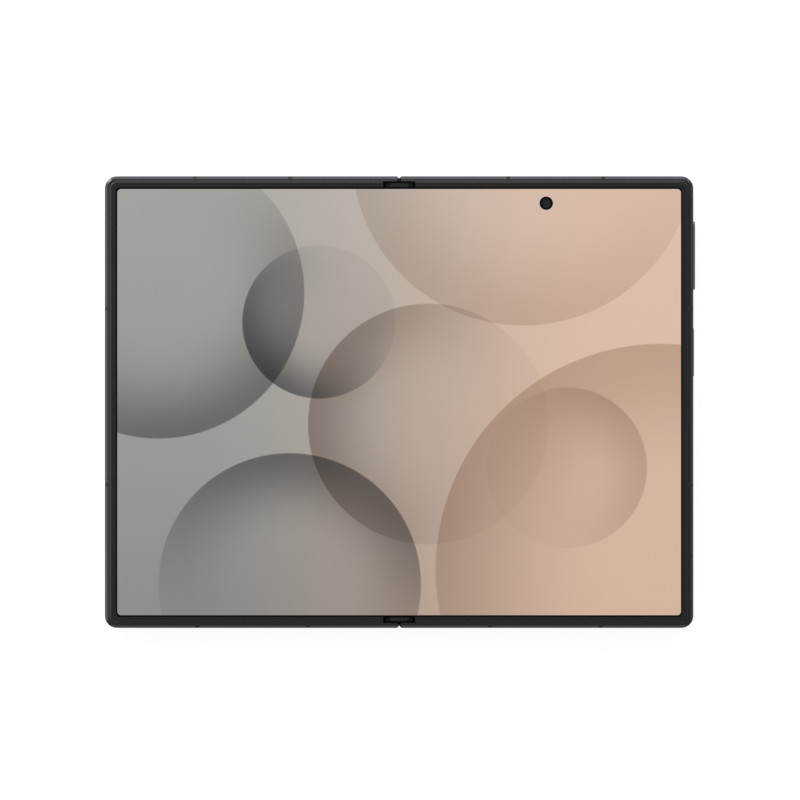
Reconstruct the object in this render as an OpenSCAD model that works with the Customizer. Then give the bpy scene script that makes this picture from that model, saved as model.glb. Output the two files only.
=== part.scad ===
// Foldable smartphone, lying open on its back with the large screen up.
// X runs across the fold, Y along the fold, Z up. The main half lies on +X and the cover half on -X.
// Heights are measured from the plane of the back glass, and everything is then lifted by the camera bump.

/* [Body] */
// Width of the open phone, across the fold
open_w = 161.4; // [150:0.1:175]
// Length of the phone, along the fold
body_len = 123.9; // [120:0.1:140]
// Thickness of the open phone, from back glass to trim
body_t = 4.9; // [4.9:0.05:5.4]
// Plan radius of the four outer corners
corner_r = 3.3; // [3.1:0.1:6]
// Radius that rounds the long edges of the metal frame on the back
edge_r = 0.65; // [0.3:0.05:0.9]
// Width of the sloping band along the outer edge of the rim, on the screen side
band_w = 0.66; // [0.4:0.02:0.8]
// Fall of that band from its inner to its outer edge
band_fall = 0.46; // [0.2:0.02:0.6]
// Fall of the rim's top face from the trim to that band
rim_fall = 0.14; // [0.05:0.01:0.2]
// Width of the metal rim, seen from the screen side
rim_w = 1.4; // [1.3:0.05:1.7]
// Height by which the plastic trim stands above the metal rim
trim_proud = 0.3; // [0.1:0.05:0.35]
// Width of the sloping outer edge of the trim
trim_edge_w = 0.38; // [0.2:0.02:0.5]
// Gap between the two frames where they meet at the fold
fold_gap = 0.1; // [0.1:0.05:0.3]
// Radius of the lower edges of the frames that meet at the fold
fold_corner_r = 0.6; // [0.3:0.05:0.9]
// Width of each half of the notch where the frames meet
notch_w = 0.55; // [0.3:0.05:0.8]
// Depth of that notch, along the fold
notch_d = 0.55; // [0.3:0.05:0.8]
// Thickness of the back glass and of the cover glass
glass_t = 0.5; // [0.4:0.05:0.55]
// Clearance round each glass in its seat
glass_gap = 0.1; // [0.05:0.01:0.15]
// Width of the bare metal strip beside the fold, on the back
strip_w = 5.2; // [5:0.1:8]
// Thickness of the plate inside each frame that carries the screen
mid_t = 0.8; // [0.6:0.05:0.9]
// Width of the ledge round the inside of each frame
ledge_w = 1.6; // [1.5:0.1:2.2]

/* [Screen] */
// Thickness of the folding display
display_t = 0.7; // [0.5:0.05:0.75]
// Depth of the display surface below the top of the trim
display_drop = 0.4; // [0.35:0.05:0.5]
// Width of the plastic trim
trim_w = 1.65; // [1.3:0.05:1.9]
// Width of the trim foot beside the display
trim_foot_w = 0.85; // [0.5:0.05:1]
// Radius of the inner corners of the trim
trim_inner_r = 1.2; // [0.6:0.1:2]
// Radius of the outer corners of the trim beside the fold
trim_end_r = 0.6; // [0.3:0.05:0.8]
// Half width of the flexing strip of display at the fold
fold_half = 4.35; // [4.35:0.05:5.5]
// Clearance between the flexing strip and what it meets
fold_play = 0.05; // [0.02:0.01:0.1]
// Distance of the front camera from the middle of its half
selfie_off = 0; // [-8:0.1:8]
// Distance of the front camera from the top edge
selfie_drop = 7.4; // [7:0.1:9]
// Radius of the hole in the display for the front camera
selfie_r = 1.85; // [1.5:0.05:2.2]
// Clearance round the front camera barrel
selfie_gap = 0.1; // [0.05:0.01:0.2]

/* [Hinge] */
// Distance of each turning axis from the middle of the fold
axis_x = 1.5; // [1.5:0.01:1.55]
// Outer radius of the spine round each turning axis
spine_r = 2.8; // [2.75:0.01:2.82]
// Wall of the spine
spine_wall = 0.45; // [0.4:0.01:0.5]
// Running clearance between spine and frames
spine_gap = 0.15; // [0.1:0.01:0.2]
// Height of the spine's side walls above the back glass
spine_top = 2.3; // [1.9:0.05:2.3]
// Width of each curved rail
rail_w = 4.9; // [4:0.1:6]
// Thickness of each curved rail
rail_t = 0.9; // [0.7:0.05:0.95]
// Running clearance of the rails
rail_gap = 0.05; // [0.03:0.01:0.08]
// Angle past the vertical at which each curved rail ends
rail_reach = 75; // [60:1:80]
// Length of the swing plates from the turning axis
bracket_reach = 10; // [9:0.1:10.4]
// Thickness of the swing plates
bracket_t = 0.8; // [0.6:0.05:0.85]
// Thickness of the thin walls in the hinge blocks
cheek_w = 1.2; // [1:0.1:1.6]
// Length of the screw lands at the ends of each hinge block
land_w = 3; // [2.6:0.1:3.4]
// Distance of the outer end of the end blocks from the end of the spine
block_inset = 3; // [2:0.1:5]
// Thickness of the support plates under the display
support_t = 0.3; // [0.2:0.05:0.3]
// Thickness of the two end caps of the spine
cap_t = 1.4; // [1.2:0.05:1.5]
// Half width of the end caps
cap_half_w = 3.74; // [3.4:0.02:3.8]
// Half width of the raised middle of the end caps
cap_mid_half_w = 2.65; // [2.4:0.05:2.8]
// Radius of the outer corners of the end caps
cap_corner_r = 0.6; // [0.3:0.05:0.8]

/* [Timing gears] */
// Number of teeth on each gear
gear_teeth = 8; // [7:1:9]
// Pitch radius of each gear
gear_pitch_r = 0.78; // [0.76:0.01:0.79]
// Length of each gear
gear_w = 2.8; // [2:0.1:4]
// Radius of the gear shafts
shaft_r = 0.3; // [0.25:0.01:0.32]
// Clearance round the gear shafts
shaft_gap = 0.03; // [0.02:0.01:0.05]
// Reach of each timing arm from its gear to its pin
arm_reach = 6.66; // [6:0.01:7]
// Thickness of each timing arm
arm_t = 0.6; // [0.45:0.05:0.65]
// Radius of the pin at the end of each arm
arm_pin_r = 0.3; // [0.2:0.01:0.32]
// Clearance of the arm pin in its curved slot
slot_gap = 0.05; // [0.03:0.01:0.06]
// Width of each slotted guide
guide_w = 1.2; // [1:0.1:1.5]
// Number of friction discs on each shaft
disc_count = 5; // [3:1:6]

/* [Keys] */
// Length of the volume key
volume_len = 18.7; // [16:0.1:20]
// Distance of the volume key's middle from the top edge
volume_drop = 21.75; // [20:0.05:24]
// Height by which the volume key stands out
volume_proud = 0.53; // [0.4:0.01:0.6]
// Length of the power key
power_len = 13.4; // [12:0.1:15]
// Distance of the power key's middle from the top edge
power_drop = 48.25; // [46:0.05:50]
// Height by which the power key stands out
power_proud = 0.22; // [0.2:0.01:0.4]
// Height of the keys' faces
key_h = 2.1; // [1.8:0.05:2.2]
// Radius that rounds the edges of the keys' faces
key_edge_r = 0.35; // [0.1:0.05:0.5]
// Clearance round each key in its slot
key_gap = 0.1; // [0.08:0.01:0.14]
// Travel of each key
key_travel = 0.2; // [0.15:0.01:0.2]

/* [Cameras and back] */
// Height of the rear camera bump
bump_h = 1.9; // [1.6:0.05:2.4]
// Height by which the lens rings stand above the camera deck
ring_proud = 0.5; // [0.3:0.05:0.6]
// Distance of the rear cameras from the outer side
cam_in = 14.3; // [13:0.1:16]
// Distance of the upper rear camera from the top edge
cam_drop = 12.6; // [11.5:0.1:14]
// Distance between the two rear cameras
cam_pitch = 16; // [15:0.1:18]
// Outer radius of each lens ring
ring_r = 6.3; // [5.8:0.05:6.5]
// Width of each lens ring
ring_w = 1.1; // [0.8:0.05:1.3]
// Width of the deck outside the lens rings
deck_margin = 1.4; // [0.8:0.1:2]
// Radius that rounds the edges of the camera deck
deck_edge_r = 0.5; // [0.2:0.05:0.7]
// Radius of the flash window
flash_r = 2.2; // [1.8:0.05:2.6]
// Distance from the flash to the cameras' line
flash_off = 12.4; // [12:0.1:14]

/* [Ports] */
// Width of the opening of the charging port
port_w = 8.34; // [8.2:0.02:8.5]
// Height of the opening of the charging port
port_h = 2.56; // [2.4:0.02:2.6]
// Depth of the charging port
port_depth = 6.2; // [5.5:0.1:7]
// Wall of the charging port
port_wall = 0.28; // [0.2:0.02:0.3]
// Length of the card tray
tray_len = 25; // [22:0.1:28]
// Width of the card tray
tray_w = 15.6; // [14:0.1:17]
// Distance of the card tray from the middle of its half, towards the fold
tray_off = 5.3; // [3:0.1:8]
// Width of each antenna strip
strip_gap_w = 1.1; // [0.8:0.05:1.4]
// Radius of the round sound holes
sound_r = 0.45; // [0.3:0.05:0.6]
// Distance between sound holes
sound_pitch = 1.6; // [1.3:0.1:2]

/* [Inside] */
// Thickness of the main battery
main_battery_t = 2.05; // [1.6:0.05:2.1]
// Thickness of the cover battery
battery_t = 1.65; // [1.2:0.05:1.7]
// Length of the main circuit board along the fold
board_len = 40; // [36:0.5:42]
// Length of the bay below the main battery
lower_len = 20; // [18:0.5:24]
// Length of the bay above the cover board
upper_len = 10; // [9:0.5:12]
// Width of the cover loudspeaker
speaker_w = 18; // [14:0.5:22]
// Length of each magnet
magnet_len = 12; // [8:0.5:14]
// Thickness of the circuit boards
board_t = 0.6; // [0.4:0.05:0.7]
// Thickness of the shield cans
shield_t = 0.7; // [0.5:0.05:0.8]
// Thickness of the heat spreader
spreader_t = 0.2; // [0.1:0.05:0.25]
// Thickness of the cover display under its glass
cover_panel_t = 0.6; // [0.4:0.05:0.6]
// Width of each ribbon that crosses the hinge
ribbon_w = 14; // [10:0.5:16]
// Thickness of each ribbon
ribbon_t = 0.12; // [0.1:0.01:0.15]

/* [Hidden] */
$fn = 48;

half_w = open_w / 2;
half_len = body_len / 2;
fold_x = fold_gap / 2;
rim_top = body_t - trim_proud;
display_top = body_t - display_drop;
mid_top = display_top - display_t;
mid_bottom = mid_top - mid_t;
support_bottom = mid_top - support_t;
axis_z = body_t + fold_x - axis_x;
trim_in = rim_w + trim_w;
display_in = rim_w + trim_foot_w;
bay_in = rim_w + ledge_w;
wall_overlap = 0.2;
trim_step = 0.06;

// Hinge, in section
spine_len = body_len - 2 * (rim_w + spine_gap);
cavity_r = spine_r + spine_gap;
cavity_x = axis_x + cavity_r;
spine_in_r = spine_r - spine_wall;
floor_z = axis_z - spine_in_r;
rail_out_r = spine_in_r - rail_gap;
rail_in_r = rail_out_r - rail_t;
core_r = rail_in_r - rail_gap;
rail_slot_w = rail_w + 2 * rail_gap;
hinge_zone_x = axis_x + bracket_reach + 0.5;
block_top = support_bottom - 0.1;
bracket_top = support_bottom - 0.1;
bracket_bottom = bracket_top - bracket_t;
rail_end_angle = 8;
wing_start = 2 * axis_x;
cap_end_gap = 0.25;
cap_lip_t = 0.7;
cap_step_drop = 0.3;
cap_rise = 0.2;

// Timing gears: four in a row, the outer two on arms that run out into the halves
gear_x = [gear_pitch_r, 3 * gear_pitch_r];
gear_z = floor_z + 1.3;
tooth_up = 0.15;
tooth_down = 0.2;
gear_slot_w = gear_w + 2 * rail_gap;
disc_t = 0.5;
disc_pitch = 0.7;
disc_slot_w = disc_count * disc_pitch + 0.1;
offset_u = gear_x[1] - axis_x;
offset_v = gear_z - axis_z;
slot_r = norm([offset_u, offset_v]);
arm_top = support_bottom - 0.45;
arm_w = gear_w - 0.2;
arm_pin = [gear_x[1] + arm_reach, arm_top - arm_t / 2];
slot_centre = [arm_pin[0] - offset_u, arm_pin[1] - offset_v];
arm_pocket_floor = mid_bottom - 1.05;

// Hinge blocks along the fold, measured from the end nearest the middle of the phone
slot_main = land_w;
slot_cover = slot_main + rail_slot_w + cheek_w;
slot_gear = slot_cover + rail_slot_w + cheek_w;
slot_disc = slot_gear + gear_slot_w + cheek_w;
gear_block_len = slot_disc + disc_slot_w + land_w;
plain_block_len = slot_cover + rail_slot_w + land_w;
block_y = spine_len / 2 - block_inset - gear_block_len;
block_screw_r = 0.4;
block_head_r = 0.85;

// Keys, in section from the side face inwards
key_z = 2.3;
volume_y = half_len - volume_drop;
power_y = half_len - power_drop;
key_wall = 1;
key_flange_t = 0.4;
key_flange_rim = 0.4;
rocker_play = 0.28;
key_rest = 0.05;
switch_gap = 0.05;
switch_y = volume_len / 4 + 1;
stub_r = 0.6;

// Rear cameras and the bump
cam_x = half_w - cam_in;
cam_y = half_len - cam_drop;
cam_at = [[cam_x, cam_y], [cam_x, cam_y - cam_pitch]];
deck_r = ring_r + deck_margin;
deck_h = bump_h - ring_proud;
ring_depth = 0.5;
lens_r = ring_r - ring_w;
barrel_r = lens_r - 0.5;
spigot_r = deck_r - 0.8;
flash_at = [cam_x - flash_off, cam_y];
fit = 0.03;

// Front cameras
selfie_at = [half_w / 2 + selfie_off, half_len - selfie_drop];

// Insides of the main half
bay_x0 = hinge_zone_x + 1.5;
bay_x1 = half_w - bay_in;
bay_y1 = half_len - bay_in;
board_top = mid_bottom - spreader_t - shield_t;
board_bottom = board_top - board_t;
coil_t = 0.2;
part_gap = 1;
selfie_half = 2.4;
selfie_room = selfie_half + 0.6;

// Ports
port_x = half_w / 2;
port_outer_h = port_h + 2 * port_wall;
port_z = glass_t + port_outer_h / 2 + 0.03;
tray_t = 1.3;
tray_front_h = 2;
usb_board_left = 7.5;
usb_board_right = 6;
motor_t = 2;
motor_gap = 1.5;
motor_x0 = bay_x0 + part_gap + motor_gap + 1.5;
tray_z = mid_bottom - 0.15 - tray_t / 2;
tray_x = half_w / 2 - tray_off;
tray_lip = 1.2;
tray_strip_gap = 0.6;
top_strips_x = [29.9, half_w - 24.7];
bottom_strips_x = [tray_x - tray_w / 2 - tray_lip - tray_strip_gap - strip_gap_w / 2, half_w - 25.3];
side_strips_y = [half_len - 36.25, -half_len + 39.35];
ribbon_y = 12;
ribbon_z = (bracket_bottom + bracket_top) / 2 - 0.2;
ribbon_half = bay_x0 + 2.5;

screw_head_h = 0.4;
tooth_base_w = 0.34;
tooth_tip_w = 0.12;
key_floor_x = half_w - 2.6;
switch_h = 0.55;
rocker_x = half_w - key_wall - rocker_play - key_flange_t;
rocker_r = 0.5;
volume_stub_x = key_floor_x + switch_h + 0.2;
power_stub_x = key_floor_x + switch_h + key_travel + switch_gap;
main_sound_x = port_x + 9.6;
main_mic_x = port_x - 8;
top_mic_x = port_x + 9.6;
earpiece_x = bay_x0 + 13.5;
earpiece_half = 6;
sounder_t = 1.6;
magnet_w = 1.9;
magnet_t = 1.4;
cover_sound_x = bay_x1 - magnet_w - 0.8 - speaker_w / 2;
tray_front_t = 1.2;
lens_sunk = 0.2;
module_z = glass_t + 0.2;
module_half = 5.2;
selfie_body_z = mid_bottom - 1.6;
board_x0 = bay_x0 + 4;
board_x1 = cam_x - deck_r - 1;
board_y1 = bay_y1 - 0.5;
board_y0 = board_y1 - board_len;
board_tail = cam_y - cam_pitch - module_half - 1.5 - board_y0;
battery_x0 = bay_x0 + 4;
battery_x1 = bay_x1 - 3;
main_battery_y0 = -half_len + lower_len;
cover_battery_y0 = -half_len + tray_len + 4;
cover_board_y1 = bay_y1 - upper_len;
coil_r = (battery_x1 - battery_x0) * 0.36;
magnet_y = [-0.55 * half_len, -0.13 * half_len, 0.13 * half_len];
port_inner_y = half_len - port_depth - 0.1;
panel_x0 = 8.3;
cover_cam = [(panel_x0 + bay_x1) / 2, half_len - 6.9];

frame_grey = "#4b4c55";
trim_black = "#232324";
screen_grey = "#a89f98";
steel = "silver";
copper = "#b87333";
board_green = "#1f4d37";

// Places the model on the plane that the camera bump rests on
module lifted() { translate([0, 0, bump_h]) children(); }

// The cover half is laid out like the main half, on the other side of the fold
module cover_side() { mirror([1, 0, 0]) children(); }

// Does the same at both ends of the fold
module both_ends() {
    children();
    mirror([0, 1, 0]) children();
}

// Extrudes an X-Z outline along Y, from y0 for a length of len
module along_y(y0, len) {
    translate([0, y0 + len, 0]) rotate([90, 0, 0]) linear_extrude(len) children();
}

// Box from its lowest to its highest corner
module block(low, high) {
    translate(low) cube(high - low);
}

// Rectangle with round corners, from its lowest to its highest corner
module round_rect(low, high, r) {
    translate([low[0] + r, low[1]]) square([high[0] - low[0] - 2 * r, high[1] - low[1]]);
    translate([low[0], low[1] + r]) square([high[0] - low[0], high[1] - low[1] - 2 * r]);
    for (x = [low[0] + r, high[0] - r], y = [low[1] + r, high[1] - r])
        translate([x, y]) circle(r);
}

// What is cut away to round a corner at the origin whose sides run along +X and -Y
module corner_cut(r) {
    difference() {
        translate([-1, -r]) square([1 + r, 1 + r]);
        translate([r, -r]) circle(r);
    }
}

// Rectangle with half round ends, centred on the origin
module pill(w, h) {
    translate([-(w - h) / 2, -h / 2]) square([w - h, h]);
    for (s = [-1, 1]) translate([s * (w - h) / 2, 0]) circle(h / 2);
}

// Plan of one half from x0 outwards, drawn in by inset from the outer faces
module half_plan(inset, x0, r) {
    x1 = half_w - inset;
    y1 = half_len - inset;
    translate([x0, -y1]) square([x1 - r - x0, 2 * y1]);
    translate([x0, -y1 + r]) square([x1 - x0, 2 * y1 - 2 * r]);
    for (s = [-1, 1]) translate([x1 - r, s * (y1 - r)]) circle(r);
}

// Slab of one half between two heights
module half_slab(inset, x0, z0, z1, r) {
    translate([0, 0, z0]) linear_extrude(z1 - z0) half_plan(inset, x0, r);
}

// Section of the metal rim: x is the distance from the centre of a corner
module rim_section() {
    x0 = corner_r - rim_w;
    z1 = rim_top - rim_fall;
    polygon([[x0, 0], [corner_r - edge_r, 0], [corner_r - edge_r, edge_r], [corner_r, edge_r],
        [corner_r, z1 - band_fall], [corner_r - band_w, z1], [x0, rim_top]]);
    translate([corner_r - edge_r, edge_r]) circle(edge_r);
}

// A section run along the far end of the fold, from x0 to x1
module end_run(x0, x1) {
    translate([x0, half_len - corner_r, 0]) rotate([90, 0, 90]) linear_extrude(x1 - x0) children();
}

// A section run along the outer side, from y0 to y1
module side_run(y0, y1) {
    translate([half_w - corner_r, 0, 0]) along_y(y0, y1 - y0) children();
}

// A section run round the three outer sides of one half, from x0 outwards
module around(x0) {
    side_run(-half_len + corner_r, half_len - corner_r) children();
    both_ends() {
        end_run(x0, half_w - corner_r) children();
        translate([half_w - corner_r, half_len - corner_r, 0]) rotate_extrude(angle = 90) children();
    }
}

// Room that the spine needs inside one half
module spine_cavity() {
    y0 = -half_len + rim_w;
    len = body_len - 2 * rim_w;
    along_y(y0, len) {
        translate([axis_x, axis_z]) circle(cavity_r);
        translate([-1, axis_z - cavity_r]) square([axis_x + 1, cavity_r]);
        translate([-1, axis_z]) square([cavity_x + 1, body_t]);
    }
}

// Shapes the side of one half that meets the other: a notch at each end, a round edge below, and a round
// edge about the turning axis above, so that the two ends roll past each other
module fold_corner_cuts() {
    r = fold_corner_r;
    both_ends() translate([fold_x, half_len, -1]) linear_extrude(body_t + 2)
        polygon([[-1, -notch_d], [0, -notch_d], [notch_w, 0], [notch_w, 1], [-1, 1]]);
    along_y(-half_len - 1, body_len + 2) translate([fold_x, 0]) mirror([0, 1]) corner_cut(r);
    along_y(-half_len - 1, body_len + 2) difference() {
        translate([fold_x - 1, axis_z]) square([1 + axis_x - fold_x, body_t]);
        translate([axis_x, axis_z]) circle(axis_x - fold_x);
    }
}

// Plastic strips that fill the gaps in the metal rim
module antenna_strips() {
    w = strip_gap_w;
    for (x = top_strips_x) end_run(x - w / 2, x + w / 2) rim_section();
    for (x = bottom_strips_x) mirror([0, 1, 0]) end_run(x - w / 2, x + w / 2) rim_section();
    for (y = side_strips_y) side_run(y - w / 2, y + w / 2) rim_section();
}

module antenna_gap_cuts() {
    w = strip_gap_w;
    y0 = half_len - rim_w;
    for (x = top_strips_x) block([x - w / 2, y0, -1], [x + w / 2, half_len + 1, body_t]);
    for (x = bottom_strips_x) block([x - w / 2, -half_len - 1, -1], [x + w / 2, -y0, body_t]);
    for (y = side_strips_y) block([half_w - rim_w, y - w / 2, -1], [half_w + 1, y + w / 2, body_t]);
}

// Rows of round sound holes through the rim, n holes centred at x
module sound_holes(x, n) {
    for (i = [0 : n - 1])
        translate([x + (i - (n - 1) / 2) * sound_pitch, 0, body_t / 2 - 0.2])
            rotate([-90, 0, 0]) translate([0, 0, half_len - bay_in - 0.5])
                cylinder(r = sound_r, h = bay_in + 1);
}

// Y positions of the swing brackets: at each end module, and at the middle block
function bracket_rows(slot) =
    [block_y + slot, -block_y - slot - rail_slot_w, -plain_block_len / 2 + slot];

// Y positions of the timing gears and arms
function gear_rows() = [block_y + slot_gear, -block_y - slot_gear - gear_slot_w];

// Pockets in one frame for its swing brackets, timing arms, guides and ribbons
module hinge_pockets(slot) {
    for (y = bracket_rows(slot))
        block([cavity_x - 1, y, bracket_bottom],
            [axis_x + bracket_reach + rail_gap, y + rail_slot_w, mid_top + 1]);
    for (y = gear_rows())
        block([cavity_x - 1, y - guide_w, arm_pocket_floor],
            [arm_pin[0] + 1.5, y + gear_slot_w + guide_w, mid_top + 1]);
    for (s = [-1, 1])
        block([cavity_x - 1, s * (ribbon_y + ribbon_w / 2) - ribbon_w / 2 - 0.5, ribbon_z - 0.3],
            [bay_x0 + 1, s * (ribbon_y + ribbon_w / 2) + ribbon_w / 2 + 0.5, support_bottom + 0.1]);
}

// Holes in one frame for the screws of its swing brackets
function bracket_screws(slot) =
    [for (y = bracket_rows(slot), x = [axis_x + bracket_reach - 1.6, axis_x + bracket_reach - 4.8])
        [x, y + rail_slot_w / 2]];

module bracket_screw_holes(slot) {
    for (p = bracket_screws(slot)) translate([p[0], p[1], 1.5]) cylinder(r = block_screw_r, h = 3);
}

// Frame of one half before its own openings: rim, ledge, mid plate and hinge side
module bare_frame(slot) {
    difference() {
        union() {
            around(fold_x) rim_section();
            half_slab(rim_w - wall_overlap, fold_x, glass_t, mid_top, corner_r - rim_w + wall_overlap);
            block([fold_x, -half_len + rim_w - wall_overlap, 0],
                [strip_w, half_len - rim_w + wall_overlap, glass_t + 0.1]);
        }
        block([bay_x0, -bay_y1, glass_t - 0.2], [bay_x1, bay_y1, mid_bottom]);
        block([wing_start, -bay_y1, support_bottom], [hinge_zone_x, bay_y1, mid_top + 1]);
        spine_cavity();
        fold_corner_cuts();
        antenna_gap_cuts();
        hinge_pockets(slot);
        bracket_screw_holes(slot);
    }
}

// Plastic trim of one half: a foot on the frame and a flange over the edge of the display
module trim() {
    r_out = corner_r - rim_w;
    flange_z = display_top + fold_play;
    difference() {
        half_slab(rim_w, fold_half, mid_top, body_t, r_out);
        half_slab(trim_in, 0, flange_z - 0.1, body_t + 1, trim_inner_r);
        half_slab(display_in - fit, 0, mid_top - 1, flange_z, trim_inner_r);
        around(fold_x) polygon([[r_out - trim_edge_w, body_t + 0.1], [r_out - trim_edge_w, body_t],
            [r_out, rim_top + trim_step], [r_out + 0.1, rim_top + trim_step], [r_out + 0.1, body_t + 0.1]]);
        both_ends() translate([fold_half, half_len - rim_w, mid_top - 1]) linear_extrude(body_t)
            corner_cut(trim_end_r);
    }
}

// Flat part of the display on one half
module display_flat() {
    half_slab(display_in, fold_half, mid_top, display_top, trim_inner_r);
}

// Thin plate that carries the display across the hinge side of one half
module support_plate() {
    y1 = spine_len / 2 - cap_t - 0.1;
    block([wing_start, -y1, support_bottom], [hinge_zone_x - fit, y1, mid_top]);
}

// Glass of one half, seen from the back
module back_pane() {
    half_slab(rim_w + glass_gap, strip_w + glass_gap, 0, glass_t, corner_r - rim_w - glass_gap);
}

// Curved rails and plates that join one half to the spine
module swing_brackets(slot) {
    far = 5;
    difference() {
        for (y = bracket_rows(slot)) along_y(y + rail_gap, rail_w) {
            translate([axis_x, axis_z]) difference() {
                circle(rail_out_r);
                circle(rail_in_r);
                polygon([[0, 0], [far * cos(rail_end_angle), -far * sin(rail_end_angle)], [far, far],
                    [-far, far], [-far * sin(rail_reach), -far * cos(rail_reach)]]);
            }
            translate([axis_x + rail_in_r, bracket_bottom]) square([bracket_reach - rail_in_r, bracket_t]);
        }
        for (p = bracket_screws(slot)) translate([p[0], p[1], bracket_bottom - 1]) {
            cylinder(r = block_screw_r + fit, h = 3);
            translate([0, 0, 1 + bracket_t - screw_head_h]) cylinder(r = block_head_r + fit, h = 2);
        }
    }
}

// Flat screw with its head at z1 and its tip at z0
module flat_screw(z0, z1) {
    difference() {
        union() {
            translate([0, 0, z0]) cylinder(r = block_screw_r - fit, h = z1 - z0 - 0.1);
            translate([0, 0, z1 - screw_head_h]) cylinder(r = block_head_r, h = screw_head_h);
        }
        translate([0, 0, z1 - 0.2]) cylinder(r = 0.35, h = 1, $fn = 6);
    }
}

module bracket_screw_set(slot) {
    for (p = bracket_screws(slot)) translate([p[0], p[1], 0]) flat_screw(1.6, bracket_top);
}

// Guides that lead the pins of the timing arms along a quarter circle
module arm_guides() {
    x0 = slot_centre[0] - slot_r - arm_pin_r - 0.6;
    x1 = arm_pin[0] + arm_pin_r + 0.6;
    start = atan2(offset_v, offset_u);
    w = 2 * (arm_pin_r + slot_gap);
    for (y0 = gear_rows(), side = [-guide_w, gear_slot_w]) translate([0, y0 + side, 0]) difference() {
        block([x0, 0, arm_pocket_floor], [x1, guide_w, support_bottom]);
        translate([slot_centre[0], guide_w + 1, slot_centre[1]]) rotate([90, 0, 0]) {
            rotate([0, 0, start - 90]) rotate_extrude(angle = 90)
                translate([slot_r - w / 2, 0]) square([w, guide_w + 2]);
            for (a = [start, start - 90]) rotate([0, 0, a]) translate([slot_r, 0, 0])
                cylinder(r = w / 2, h = guide_w + 2);
        }
    }
}

// Section of a gear centred on the origin, turned so that a tooth or a gap faces +X
module gear_section(turn) {
    root = gear_pitch_r - tooth_down;
    tip = gear_pitch_r + tooth_up;
    base_half = tooth_base_w / 2;
    tip_half = tooth_tip_w / 2;
    difference() {
        union() {
            circle(root);
            for (i = [0 : gear_teeth - 1]) rotate(turn + i * 360 / gear_teeth)
                polygon([[root - 0.1, -base_half], [tip, -tip_half], [tip, tip_half],
                    [root - 0.1, base_half]]);
        }
        circle(shaft_r + shaft_gap);
    }
}

// The gears that turn at x, one in each end block
module gear_pair(x, turn) {
    for (y = gear_rows()) translate([x, 0, gear_z]) along_y(y + rail_gap, gear_w) gear_section(turn);
}

// Timing arms of one half: a gear, an arm and a pin that runs in the guides
module timing_arms(turn) {
    gear_pair(gear_x[1], turn);
    for (y = gear_rows()) {
        along_y(y + rail_gap + 0.1, arm_w) difference() {
            union() {
                translate([gear_x[1], arm_top - arm_t]) square([arm_reach, arm_t]);
                translate(arm_pin) circle(arm_pin_r + 0.15);
            }
            translate([gear_x[1], gear_z]) circle(shaft_r + shaft_gap);
        }
        translate([arm_pin[0], y + gear_slot_w + guide_w - 0.05, arm_pin[1]]) rotate([90, 0, 0])
            cylinder(r = arm_pin_r, h = gear_slot_w + 2 * guide_w - 0.1);
    }
}

// Section of the spine, r about each turning axis, up to height z1
module spine_section(r, z1) {
    intersection() {
        union() {
            for (x = [-axis_x, axis_x]) translate([x, axis_z]) circle(r);
            translate([-axis_x, axis_z - r]) square([2 * axis_x, r]);
        }
        translate([-10, axis_z - r]) square([20, z1 - axis_z + r]);
    }
}

// Places of the block screws along the fold
function block_screw_rows() = [block_y + land_w / 2, block_y + gear_block_len - land_w / 2,
    -block_y - land_w / 2, -block_y - gear_block_len + land_w / 2,
    plain_block_len / 2 - land_w / 2, -plain_block_len / 2 + land_w / 2];

// Ring shaped slots for the curved rails of one half
module rail_slots(slot, x) {
    for (y = bracket_rows(slot)) along_y(y, rail_slot_w) translate([x, axis_z]) difference() {
        circle(spine_in_r);
        circle(core_r);
    }
}

// Bores for the gear shafts in one end block
module shaft_set(r, y0, y1) {
    for (x = [-gear_x[1], -gear_x[0], gear_x[0], gear_x[1]])
        translate([x, y1, gear_z]) rotate([90, 0, 0]) cylinder(r = r, h = y1 - y0);
}

// Rounded slot or key outline in the Y-Z plane, extruded from x0 to x1
module side_pill(x0, x1, len, h) {
    translate([x0, 0, 0]) rotate([90, 0, 90]) linear_extrude(x1 - x0) pill(len, h);
}

// Slot and pocket in the main frame for one key
module key_cut(len) {
    h = key_h + 2 * key_gap;
    side_pill(half_w - key_wall - 0.1, half_w + 1, len + 2 * key_gap, h);
    block([key_floor_x, -len / 2 - key_flange_rim - key_gap, -h / 2],
        [half_w - key_wall, len / 2 + key_flange_rim + key_gap, h / 2]);
}

// Section of a key's head, from its middle line out to w, between two heights, with a round outer edge
module head_section(w, h0, h1, e) {
    translate([0, h0]) square([w - e, h1 - h0]);
    translate([0, h0]) square([w, h1 - e - h0]);
    translate([w - e, h1 - e]) circle(e);
}

// Round-ended head along Y, between two distances from the fold, with round outer edges
module key_head(x0, x1, len, h) {
    w = h / 2;
    rotate([90, 0, 90]) {
        rotate([90, 0, 90]) translate([0, 0, -len / 2 + w]) linear_extrude(len - h) for (s = [0, 1])
            mirror([s, 0]) head_section(w, x0, x1, key_edge_r);
        for (s = [-1, 1]) translate([s * (len / 2 - w), 0, 0]) rotate_extrude()
            head_section(w, x0, x1, key_edge_r);
    }
}

// One key: its face stands proud by p, and its flange lies behind the wall by rest
module key_body(len, p, rest) {
    flange_x = half_w - key_wall - rest;
    key_head(flange_x - 0.1, half_w + p, len, key_h);
    block([flange_x - key_flange_t, -len / 2 - key_flange_rim, -key_h / 2],
        [flange_x, len / 2 + key_flange_rim, key_h / 2]);
}

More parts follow.
